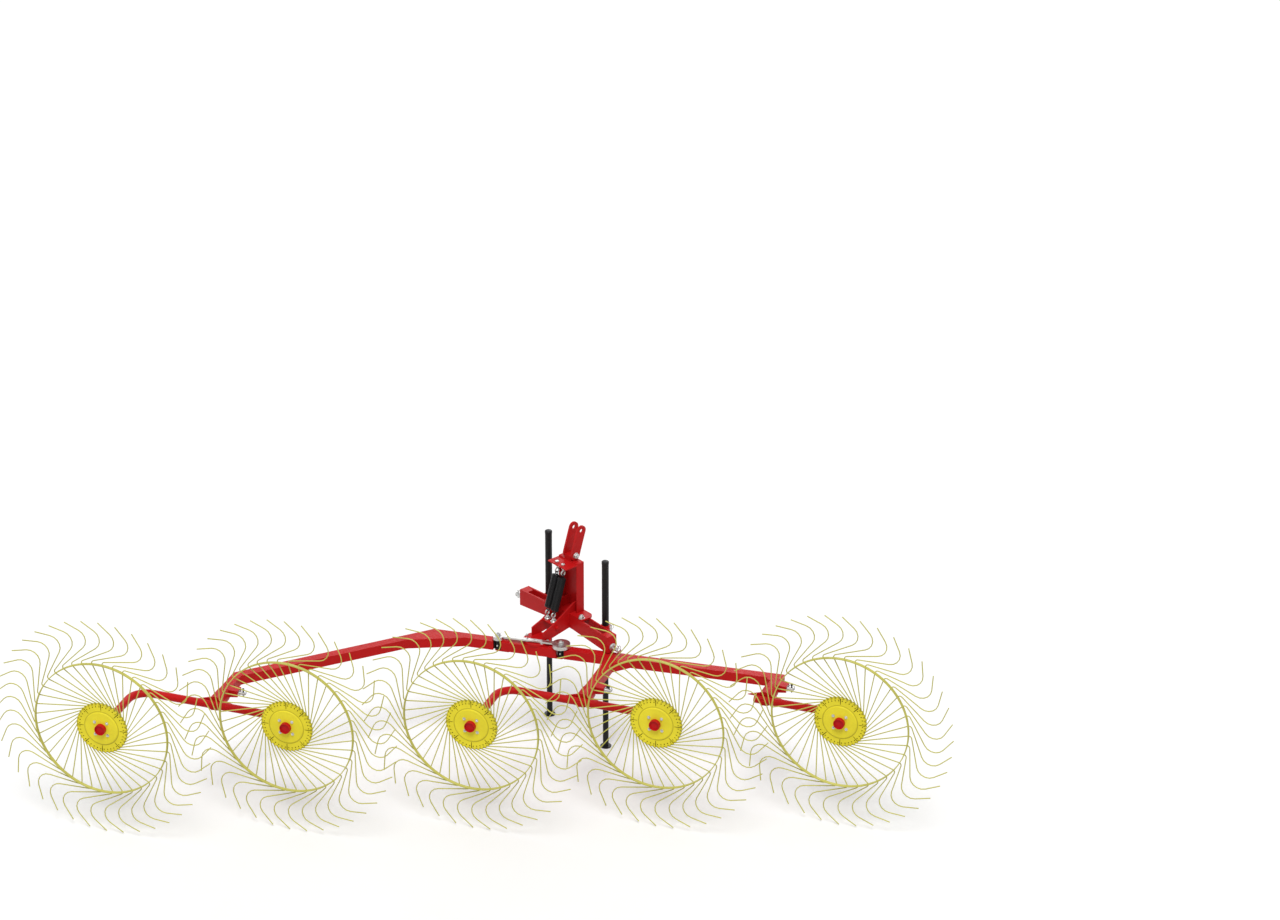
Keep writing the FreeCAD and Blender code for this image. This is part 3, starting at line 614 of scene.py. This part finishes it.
class RAKE_OT_round_edges(Operator):
    """Rounds the edges of the beams, arms, mast and plates, as rolled and welded steel has them"""
    bl_idname = "rake.round_edges"
    bl_label = "Round the edges"

    def execute(self, context):
        sizes = context.scene.rake_sizes
        remade = ("_tines", "_disc", "springs", "spring_eyebolts")
        for part in frame["record"]["subparts"]:
            node = part["node"]
            if node.endswith(remade):
                continue
            wide = sizes.tube_edge if node.endswith("beam") else sizes.plate_edge
            shape = hollow_cap if node.endswith("_bearing") else None
            soften(node, wide, part["material_slot"], body_with(node), shape)
        return {"FINISHED"}


# ---------------------------------------------------------------- wheels
# Painted shade on the discs: how dark the marked hollows and the seam are painted
NARROW = 0.0005         # half a millimetre, to tell a disc's rings of points apart
RIM_PAINTED_SHADE = 0.75        # share of painted shade in the rim's hollows
SEAM_PAINTED_SHADE = 0.55       # and at the foot of the raised middle


def polar(radius, angle):
    return Vector((radius * math.cos(angle), radius * math.sin(angle), 0.0))


def each_wheel(pattern, ending, replaced=()):
    """Puts a pattern into every wheel, and takes the pattern away."""
    finish_name = pattern["finish"]
    for wheel in WHEELS:
        piece = place_copy(pattern, wheel + ending, wheel_place(wheel))
        settle(piece, finish_name, wheel, [wheel + name for name in replaced])
    bpy.data.objects.remove(pattern)


def end_pattern(piece, finish_name, angle):
    """Cleans a pattern, which has a finish but no body of its own."""
    clean(angle)
    piece["finish"] = finish_name


class RAKE_OT_tines(Operator):
    """The bent wire tines of every wheel and the ring that ties them"""
    bl_idname = "rake.tines"
    bl_label = "Tines and rings"

    def execute(self, context):
        sizes = context.scene.rake_sizes
        reach = hub(WHEELS[0]).z - low(WHEELS[0] + "_tines").z - sizes.tine_wire / 2.0
        spoke_lag = (math.acos(sizes.spoke_offset / sizes.tine_kink)
                     - math.acos(sizes.spoke_offset / sizes.tine_start))
        phase = sizes.tip_lag - math.pi / 2.0       # sets one tip straight down
        pattern = start_piece("tine_pattern")
        points = [polar(sizes.tine_start, phase - spoke_lag), polar(sizes.tine_kink, phase),
                  polar(sizes.tine_bend, phase - sizes.bend_lag), polar(reach, phase - sizes.tip_lag)]
        add_wire(points, [sizes.bend_radius / 4.0, sizes.bend_radius], sizes.tine_wire, steps=5)
        repeat_round(sizes.tine_count)
        add_band(UP * sizes.tine_wire * 0.35, UP, sizes.ring_radius, sizes.ring_bar, sizes.ring_width, 96)
        end_pattern(pattern, "tines", angle=60.0)
        each_wheel(pattern, "_wires", ["_tines"])
        return {"FINISHED"}


class RAKE_OT_discs(Operator):
    """The pressed discs that hold the tines, with a scalloped rim, grooves, notches and a raised middle"""
    bl_idname = "rake.discs"
    bl_label = "Discs"

    def execute(self, context):
        sizes = context.scene.rake_sizes
        places = self.places(sizes)
        pattern = start_piece("disc_pattern")
        add_turned(Vector(), UP, self.profile(sizes, places), sizes.disc_facets)
        bpy.ops.mesh.select_all(action="SELECT")
        bpy.ops.transform.rotate(value=places.step / 2.0, orient_axis="Z", center_override=(0, 0, 0))
        self.press(pattern, sizes, places)
        bpy.ops.mesh.select_all(action="SELECT")
        bpy.ops.mesh.remove_doubles(threshold=MERGE)
        bpy.ops.mesh.select_mode(type="VERT")
        bpy.ops.mesh.select_all(action="DESELECT")
        self.mark(pattern, sizes, places)
        bpy.ops.transform.resize(value=(sizes.scallop, sizes.scallop, 1.0), center_override=(0, 0, 0))
        bpy.ops.mesh.select_mode(type="FACE")
        end_pattern(pattern, "hub_disc", angle=28.0)
        each_wheel(pattern, "_disc_pressing", ["_disc"])
        return {"FINISHED"}

    def places(self, sizes):
        """Heights, radii and the angle of one facet, worked out from a disc's sizes."""
        half = sizes.disc_thickness / 2.0
        seam = sizes.disc_step_radius + sizes.disc_edge * 2.0
        return SimpleNamespace(half=half, gap=sizes.disc_gap / 2.0, raised=half + sizes.disc_step, seam=seam,
                               flat=seam + sizes.seam_width, step=2.0 * math.pi / sizes.disc_facets)

    def profile(self, sizes, places):
        """The two plates, the gap between them and the raised middle, as (height, radius) steps."""
        rim, core, edge = sizes.disc_radius, sizes.disc_core, sizes.disc_edge
        half, gap, raised = places.half, places.gap, places.raised
        return [(-half, rim - edge), (-half + edge, rim), (-gap, rim), (-gap, core), (gap, core), (gap, rim),
                (half - edge, rim), (half, rim - edge), (half, core - NARROW), (half, sizes.notch_start),
                (half, places.flat), (half, places.seam), (raised - edge, sizes.disc_step_radius),
                (raised, sizes.disc_step_radius - edge)]

    def press(self, pattern, sizes, places):
        """Sinks the notches, one to every second facet, and the grooves."""
        spacing = sizes.disc_facets // sizes.groove_count

        def facet(place):
            return round(math.atan2(place.y, place.x) / places.step)

        def in_notch(centre, normal):
            across = sizes.notch_start < centre.xy.length < sizes.disc_core - 2.0 * NARROW
            return normal.z > 0.9 and across and facet(centre) % 2 == 1

        def in_groove(centre, normal):
            across = places.flat < centre.xy.length < sizes.disc_radius - sizes.disc_edge
            return normal.z > 0.9 and across and facet(centre) % spacing == 0

        select_faces(pattern, in_notch)
        bpy.ops.mesh.inset(thickness=sizes.notch_border, use_individual=True)
        sweep_run(UP * -sizes.notch_depth)
        select_faces(pattern, in_groove)
        bpy.ops.mesh.inset(thickness=sizes.groove_border)
        sweep_run(UP * -sizes.groove_depth)

    def mark(self, pattern, sizes, places):
        """Selects the rim's hollows, and marks painted shade: there, between the plates and at the seam."""
        # Painted shade: darkens the rear rim hollows, the gap between the plates and the seam, where shade
        # falls
        shape = bmesh.from_edit_mesh(pattern.data)
        grime = shape.verts.layers.float.new(PAINTED_SHADE)
        for point in shape.verts:
            facet = math.floor(math.atan2(point.co.y, point.co.x) / places.step)
            reach = point.co.xy.length
            at_rear = point.co.z > 0.0
            if reach > sizes.disc_radius - sizes.disc_edge * 1.5 and facet % 2 == 0:
                point.select_set(True)
                point[grime] = RIM_PAINTED_SHADE if at_rear else 0.0
            elif abs(point.co.z) < places.gap + 0.2 * NARROW and reach < sizes.disc_core + 2.0 * NARROW:
                point[grime] = 1.0
            elif abs(reach - places.seam) < NARROW and at_rear:
                point[grime] = SEAM_PAINTED_SHADE
        bmesh.update_edit_mesh(pattern.data)


class RAKE_OT_hub_bolts(Operator):
    """Plated bolts round every hub cap"""
    bl_idname = "rake.hub_bolts"
    bl_label = "Hub bolts"

    def execute(self, context):
        sizes = context.scene.rake_sizes
        face = sizes.disc_thickness / 2.0 + sizes.disc_step
        pattern = start_piece("hub_bolt_pattern")
        place = polar(sizes.hub_bolt_radius, sizes.hub_bolt_turn) + UP * face
        add_bolt(place, UP, HUB_BOLT)
        repeat_round(sizes.hub_bolt_count)
        end_pattern(pattern, "zinc", angle=30.0)
        each_wheel(pattern, "_hub_bolts")
        return {"FINISHED"}


# ---------------------------------------------------------------- springs of the float arm
COIL_PITCH = 1.03                   # thicknesses of wire from turn to turn
HOOK_TURN = math.radians(235.0)


class RAKE_OT_springs(Operator):
    """Two close-wound springs with their hooks, between plated eyebolts"""
    bl_idname = "rake.springs"
    bl_label = "Springs and eyebolts"

    def execute(self, context):
        sizes = context.scene.rake_sizes
        bolts_low, bolts_high = low("spring_eyebolts"), high("spring_eyebolts")
        shank = sizes.eyebolt_radius
        centre_x = middle("spring_eyebolts").x
        lead = sizes.eye_radius - sizes.eye_wire / 2.0
        for name, side in (("left", -0.5), ("right", 0.5)):
            x = centre_x + side * sizes.spring_spread
            upper = Vector((x, bolts_high.y - shank, bolts_high.z - sizes.upper_eye_drop))
            lower = Vector((x, bolts_low.y + shank, bolts_low.z + sizes.lower_eye_rise))
            top = upper - UP * lead
            foot = lower + UP * lead
            self.spring(name, foot, top, sizes)
            self.eyebolt(name + "_upper_eyebolt", upper, UP, bolts_high.z - upper.z, sizes)
            self.eyebolt(name + "_lower_eyebolt", lower, -UP, lower.z - bolts_low.z, sizes)
        return {"FINISHED"}

    def spring(self, name, foot, top, sizes):
        """A coil modelled upright from the origin, with a hook at each end, then laid between its eyes."""
        wire = sizes.spring_wire
        coil = sizes.spring_radius - wire / 2.0
        hook = sizes.hook_radius
        tail = hook + sizes.hook_length
        axis = (top - foot).normalized()
        coiled = (top - foot).length - 2.0 * tail
        turns = round(coiled / (wire * COIL_PITCH))
        piece = start_piece(name + "_spring")
        bpy.ops.mesh.select_mode(type="EDGE")
        bpy.ops.mesh.primitive_circle_add(vertices=6, radius=wire / 2.0, fill_type="NOTHING",
                                          location=(coil, 0, 0), rotation=(math.pi / 2.0, 0, 0))
        bpy.ops.object.mode_set(mode="OBJECT")
        bpy.ops.object.modifier_add(type="SCREW")
        screw = piece.modifiers[-1]
        screw.screw_offset = coiled / turns
        screw.iterations = turns
        screw.steps = 24
        screw.render_steps = 24
        bpy.ops.object.modifier_apply(modifier=screw.name)
        bpy.ops.object.mode_set(mode="EDIT")
        bpy.ops.mesh.select_all(action="SELECT")
        bpy.ops.mesh.fill_holes(sides=6)
        bpy.ops.mesh.select_mode(type="FACE")
        for level, way in ((0.0, -1.0), (coiled, 1.0)):
            out = UP * way
            place = UP * level
            root = place + RIGHT * coil
            side = place - RIGHT * hook
            add_wire([root, side + out * wire, side + out * sizes.hook_length], [wire * 1.2], wire)
            sweep_arc(place + out * sizes.hook_length, AHEAD * way, HOOK_TURN, 8)
        bpy.ops.mesh.select_all(action="SELECT")
        bpy.ops.mesh.normals_make_consistent(inside=False)
        bpy.ops.object.mode_set(mode="OBJECT")
        bpy.ops.object.shade_smooth_by_angle(angle=math.radians(70.0))
        tilt = UP.rotation_difference(axis).to_matrix().to_4x4()
        piece.matrix_world = Matrix.Translation(foot + axis * tail) @ tilt
        bpy.ops.object.transform_apply(location=True, rotation=True, scale=True)
        settle(piece, "springs", "headstock", ["springs"] if name == "left" else [])

    def eyebolt(self, name, centre, out, reach, sizes):
        """An eyebolt in a shelf at reach from its eye, with two nuts and a washer, or a collar below."""
        piece = start_piece(name)
        add_hoop(centre, RIGHT, sizes.eye_radius, sizes.eye_wire, 24)
        shank = sizes.eye_wire * 0.5
        root = centre + out * sizes.eye_radius
        add_turned(root, out, [(0.0, shank), (reach - sizes.eye_radius + 0.012, shank)], 10)
        across = sizes.eye_nut
        if out.z < 0.0:
            seat = centre + out * (reach - EYE_COLLAR[-1][0])
            add_turned(seat, out, EYE_COLLAR, 24)
            add_nut(seat, -out, across, 0.010)
        else:
            seat = centre + out * (reach - EYE_WASHER[1])
            add_washer(seat, out, *EYE_WASHER)
            add_nut(seat, -out, across, 0.012)
        add_nut(centre + out * (reach + sizes.shelf_plate), out, across, 0.010)
        nodes = ["spring_eyebolts"] if name == "left_upper_eyebolt" else []
        end_piece(piece, "zinc", "headstock", nodes, angle=40.0)


# ---------------------------------------------------------------- pins, bolts and nipples
def add_linch_pin(place, through, ring_axis, sizes):
    """A small pin through a bigger one, with its sprung ring lying round it."""
    add_turned(place, through, LINCH_PIN, 12)
    head = place + through * LINCH_EYE
    centre = head - through * sizes.linch_ring
    add_section(head, ring_axis.cross(through), sizes.linch_wire / 2.0)
    sweep_arc(centre, ring_axis, LINCH_TURN, 22)


class RAKE_OT_lock_pins(Operator):
    """Lock pin, collar and linch pin at the foot of each leg, to the right of the arm's pivot"""
    bl_idname = "rake.lock_pins"
    bl_label = "Lock pins"

    def execute(self, context):
        sizes = context.scene.rake_sizes
        for wheel, body in ARMS.items():
            face = pivot(wheel) + ALONG * sizes.lock_reach - BACK * sizes.lock_ahead + UP * sizes.lock_rise
            pin = start_piece(wheel + "_lock_pin")
            add_washer(face, ALONG, *LOCK_WASHER)
            add_turned(face, ALONG, LOCK_PIN, 16)
            end_piece(pin, "zinc", body)
            ring = start_piece(wheel + "_lock_ring")
            add_linch_pin(face + ALONG * sizes.lock_hole, UP, ALONG.cross(UP), sizes)
            end_piece(ring, "hinges", body)
        return {"FINISHED"}


class RAKE_OT_headstock_pins(Operator):
    """Linch pins and collars of the lower link pins, and the bolts of the upper link's cheeks"""
    bl_idname = "rake.headstock_pins"
    bl_label = "Headstock pins and bolts"

    def execute(self, context):
        sizes = context.scene.rake_sizes
        reach = sizes.link_reach
        for side, out in (("left", -RIGHT), ("right", RIGHT)):
            pin = side + "_link_pin"
            root = middle(pin) - out * (high(pin).x - low(pin).x) / 2.0
            radius = (high(pin).z - low(pin).z) / 2.0
            collar = start_piece(side + "_link_collar")
            add_turned(root, out, [(0.0, radius * 1.7), (0.006, radius * 1.7), (0.009, radius * 1.45)], 24)
            add_turned(root, out, [(0.0, radius), (reach, radius), (reach + 0.004, radius - 0.003)], 24)
            end_piece(collar, "zinc", "headstock")
            linch = start_piece(side + "_linch_pin")
            add_linch_pin(root + out * sizes.link_hole, UP, RIGHT, sizes)
            end_piece(linch, "zinc", "headstock")

        cheeks = "upper_link_cheeks"
        plate = (high(cheeks).x - low(cheeks).x) / 2.0
        corner = sizes.cheek_radius
        seat = Vector((middle(cheeks).x, low(cheeks).y + corner, low(cheeks).z + corner))
        piece = start_piece("cheek_bolts")
        for out in (-RIGHT, RIGHT):
            add_bolt(seat + out * plate, out, CHEEK_BOLT)
        end_piece(piece, "zinc", "headstock")
        return {"FINISHED"}


class RAKE_OT_plate_bolts(Operator):
    """Bolts of the saddle, the base plate and the spring bracket"""
    bl_idname = "rake.plate_bolts"
    bl_label = "Plate bolts"

    def execute(self, context):
        sizes = context.scene.rake_sizes
        mast_x = middle("mast").x
        saddle = low("mast").z
        saddle_y = middle("mast").y - sizes.saddle_setback
        piece = start_piece("saddle_bolts")
        for side in (-1.0, 1.0):
            place = Vector((mast_x + side * sizes.saddle_bolt, saddle_y, saddle))
            add_bolt(place, UP, SADDLE_BOLT)
        end_piece(piece, "zinc", "headstock")

        base_top = low("float_arm").z + sizes.base_thickness
        base_y = low("float_arm").y + sizes.base_radius
        piece = start_piece("base_plate_bolts")
        for side in (-1.0, 1.0):
            for ahead in (-sizes.base_spread, sizes.base_spread):
                place = Vector((mast_x + side * sizes.base_bolt, base_y + ahead, base_top))
                add_bolt(place, UP, BASE_BOLT)
        end_piece(piece, "zinc", "headstock")

        half = sizes.float_arm_width / 2.0
        lower = low("spring_eyebolts")
        piece = start_piece("bracket_bolts")
        for out in (-RIGHT, RIGHT):
            face = Vector((mast_x, lower.y + sizes.eyebolt_radius, lower.z - sizes.bracket_drop)) + out * half
            add_bolt(face, out, BRACKET_BOLT)
        end_piece(piece, "red_paint", "headstock")
        return {"FINISHED"}


class RAKE_OT_stand_fittings(Operator):
    """Caps of the stand tubes, and the pin that holds each stand"""
    bl_idname = "rake.stand_fittings"
    bl_label = "Stand fittings"

    def execute(self, context):
        sizes = context.scene.rake_sizes
        for side in ("left", "right"):
            tube = side + "_stand_tube"
            radius = (high(tube).x - low(tube).x) / 2.0
            top = Vector((middle(tube).x, middle(tube).y, high(tube).z))
            cap = start_piece(side + "_stand_cap")
            add_turned(top, UP, fitted(STAND_CAP, radius), 28)
            end_piece(cap, "stands", "headstock")
            pin = start_piece(side + "_stand_pin")
            face = Vector((top.x, high("hitch_arms").y, low(tube).z + sizes.stand_pin_rise))
            add_turned(face, AHEAD, STAND_PIN, 16)
            add_linch_pin(face + AHEAD * sizes.stand_pin_hole, UP, RIGHT, sizes)
            end_piece(pin, "zinc", "headstock")
        return {"FINISHED"}


class RAKE_OT_hinge_fittings(Operator):
    """Grease nipples of the hinges, and the bolts of the tie bar"""
    bl_idname = "rake.hinge_fittings"
    bl_label = "Hinge fittings"

    def execute(self, context):
        sizes = context.scene.rake_sizes
        rear = UP.cross(BEAM)
        rear = rear if rear.y < 0 else -rear
        top = high("tie_bar").z
        for side, place in HINGES.items():
            nipple = start_piece(side + "_grease_nipple")
            add_turned(place + rear * sizes.nipple_seat, rear, GREASE_NIPPLE, 12)
            end_piece(nipple, "zinc", side + "_wing")
            bolt = start_piece(side + "_tie_bolt")
            add_bolt(Vector((place.x, place.y, top)), UP, TIE_BOLT)
            end_piece(bolt, "zinc", "headstock")
        return {"FINISHED"}


class RAKE_OT_arm_fittings(Operator):
    """End plugs of the arm tubes, and the washer and nut on each pivot pin"""
    bl_idname = "rake.arm_fittings"
    bl_label = "Arm fittings"

    def execute(self, context):
        sizes = context.scene.rake_sizes
        tube = sizes.arm_tube
        for wheel, body in ARMS.items():
            end = hub(wheel) - BACK * sizes.arm_setback + ALONG * sizes.arm_overhang
            plug = start_piece(wheel + "_arm_plug")
            add_turned(end, ALONG, fitted(ARM_PLUG, tube), 28)
            end_piece(plug, "hinges", body)
            nut = start_piece(wheel + "_pivot_nut")
            face = pivot(wheel) - BACK * (sizes.arm_setback - tube)
            add_turned(face, BACK, PIVOT_WASHER, 24)
            add_nut(face + BACK * PIVOT_WASHER[-1][0], BACK, sizes.pivot_nut, 0.012, 0.005)
            end_piece(nut, "red_paint", body)
        return {"FINISHED"}


# ---------------------------------------------------------------- stage
FLOOR_RADIUS = 60.0
FLOOR_TONES = (0.66, 0.93)          # for the light it sheds, and as it is seen
WORLD_LEVELS = (0.58, 1.0)          # likewise
SUNS = (("softbox", 1.75, (-0.45, 0.42, -1.15)), ("fill", 0.5, (0.7, -0.9, -0.5)))   # name, energy, heading
SUN_SPREAD = math.radians(24.0)
CAMERA_PLACE = (24.271, -19.485, 17.962)
CAMERA_WAY = (-0.6796, 0.5821, -0.4465)
CAMERA_LENS = 169.93        # millimetres, as is the sensor
CAMERA_SENSOR = 36.0


def rays_seen(nodes, links):
    """One where the eye, a reflection or a clear piece sees the surface, and none for the light it sheds."""
    rays = nodes.new("ShaderNodeLightPath")
    seen = nodes.new("ShaderNodeMath")
    seen.operation = "MAXIMUM"
    links.new(rays.outputs["Is Camera Ray"], seen.inputs[0])
    links.new(rays.outputs["Is Glossy Ray"], seen.inputs[1])
    through = nodes.new("ShaderNodeMath")
    through.operation = "MAXIMUM"
    links.new(seen.outputs[0], through.inputs[0])
    links.new(rays.outputs["Is Transmission Ray"], through.inputs[1])
    return through.outputs[0]


class RAKE_OT_stage(Operator):
    """Floor, soft light and camera"""
    bl_idname = "rake.stage"
    bl_label = "Set the stage"

    def execute(self, context):
        bpy.ops.object.select_all(action="DESELECT")
        bpy.ops.mesh.primitive_circle_add(vertices=64, radius=FLOOR_RADIUS, fill_type="NGON",
                                          location=(0, 0, 0))
        floor = context.object
        floor.name = "floor"
        material, nodes, links, shader = new_material("pale_floor")
        seen = rays_seen(nodes, links)
        mix = nodes.new("ShaderNodeMix")
        mix.data_type = "RGBA"
        for socket, grey in zip(("A", "B"), FLOOR_TONES):
            mix.inputs[socket].default_value = (grey, grey, grey, 1.0)
        links.new(seen, mix.inputs["Factor"])
        links.new(mix.outputs["Result"], shader.inputs["Base Color"])
        shader.inputs["Roughness"].default_value = 0.9
        shader.inputs["Specular IOR Level"].default_value = 0.1
        floor.data.materials.append(material)

        world = bpy.data.worlds.new("studio")
        context.scene.world = world
        world.use_nodes = True
        nodes = world.node_tree.nodes
        links = world.node_tree.links
        background = nodes["Background"]
        background.inputs["Color"].default_value = (1.0, 1.0, 1.0, 1.0)
        level = nodes.new("ShaderNodeMapRange")
        for socket, strength in zip(("To Min", "To Max"), WORLD_LEVELS):
            level.inputs[socket].default_value = strength
        links.new(rays_seen(nodes, links), level.inputs["Value"])
        links.new(level.outputs["Result"], background.inputs["Strength"])

        for name, energy, way in SUNS:
            sun = bpy.data.lights.new(name, "SUN")
            sun.energy = energy
            sun.angle = SUN_SPREAD
            lamp = bpy.data.objects.new(name, sun)
            lamp.rotation_euler = Vector(way).to_track_quat("-Z", "Y").to_euler()
            context.scene.collection.objects.link(lamp)

        lens = bpy.data.cameras.new("camera")
        lens.lens = CAMERA_LENS
        lens.sensor_width = CAMERA_SENSOR
        lens.clip_end = 200.0
        camera = bpy.data.objects.new("camera", lens)
        camera.location = CAMERA_PLACE
        camera.rotation_euler = Vector(CAMERA_WAY).to_track_quat("-Z", "Y").to_euler()
        context.scene.collection.objects.link(camera)
        context.scene.camera = camera
        context.scene.view_settings.view_transform = "Standard"
        return {"FINISHED"}


class RAKE_PT_sidebar(Panel):
    """Sizes, colours and the steps that dress the rake"""
    bl_idname = "RAKE_PT_sidebar"
    bl_label = "Finger-wheel rake"
    bl_space_type = "VIEW_3D"
    bl_region_type = "UI"
    bl_category = "Rake"

    def draw(self, context):
        layout = self.layout
        for group, title in ((context.scene.rake_sizes, "Sizes"), (context.scene.rake_colours, "Colours")):
            box = layout.box()
            box.label(text=title)
            for key in group.__annotations__:
                box.prop(group, key)
        for step in STEPS:
            layout.operator(step.bl_idname)


# ---------------------------------------------------------------- the add-on
STEPS = (RAKE_OT_finish_frame, RAKE_OT_round_edges, RAKE_OT_tines, RAKE_OT_discs, RAKE_OT_hub_bolts,
         RAKE_OT_springs, RAKE_OT_lock_pins, RAKE_OT_headstock_pins, RAKE_OT_plate_bolts,
         RAKE_OT_stand_fittings, RAKE_OT_hinge_fittings, RAKE_OT_arm_fittings, RAKE_OT_stage)
CLASSES = (RakeSizes, RakeColours, *STEPS, RAKE_PT_sidebar)


def register():
    for item in CLASSES:
        bpy.utils.register_class(item)
    bpy.types.Scene.rake_sizes = PointerProperty(type=RakeSizes)
    bpy.types.Scene.rake_colours = PointerProperty(type=RakeColours)


def unregister():
    del bpy.types.Scene.rake_colours
    del bpy.types.Scene.rake_sizes
    for item in reversed(CLASSES):
        bpy.utils.unregister_class(item)


def main():
    register()
    bpy.ops.rake.finish_frame()
    bpy.ops.rake.round_edges()
    bpy.ops.rake.tines()
    bpy.ops.rake.discs()
    bpy.ops.rake.hub_bolts()
    bpy.ops.rake.springs()
    bpy.ops.rake.lock_pins()
    bpy.ops.rake.headstock_pins()
    bpy.ops.rake.plate_bolts()
    bpy.ops.rake.stand_fittings()
    bpy.ops.rake.hinge_fittings()
    bpy.ops.rake.arm_fittings()
    bpy.ops.rake.stage()


if __name__ == "__main__":
    main()
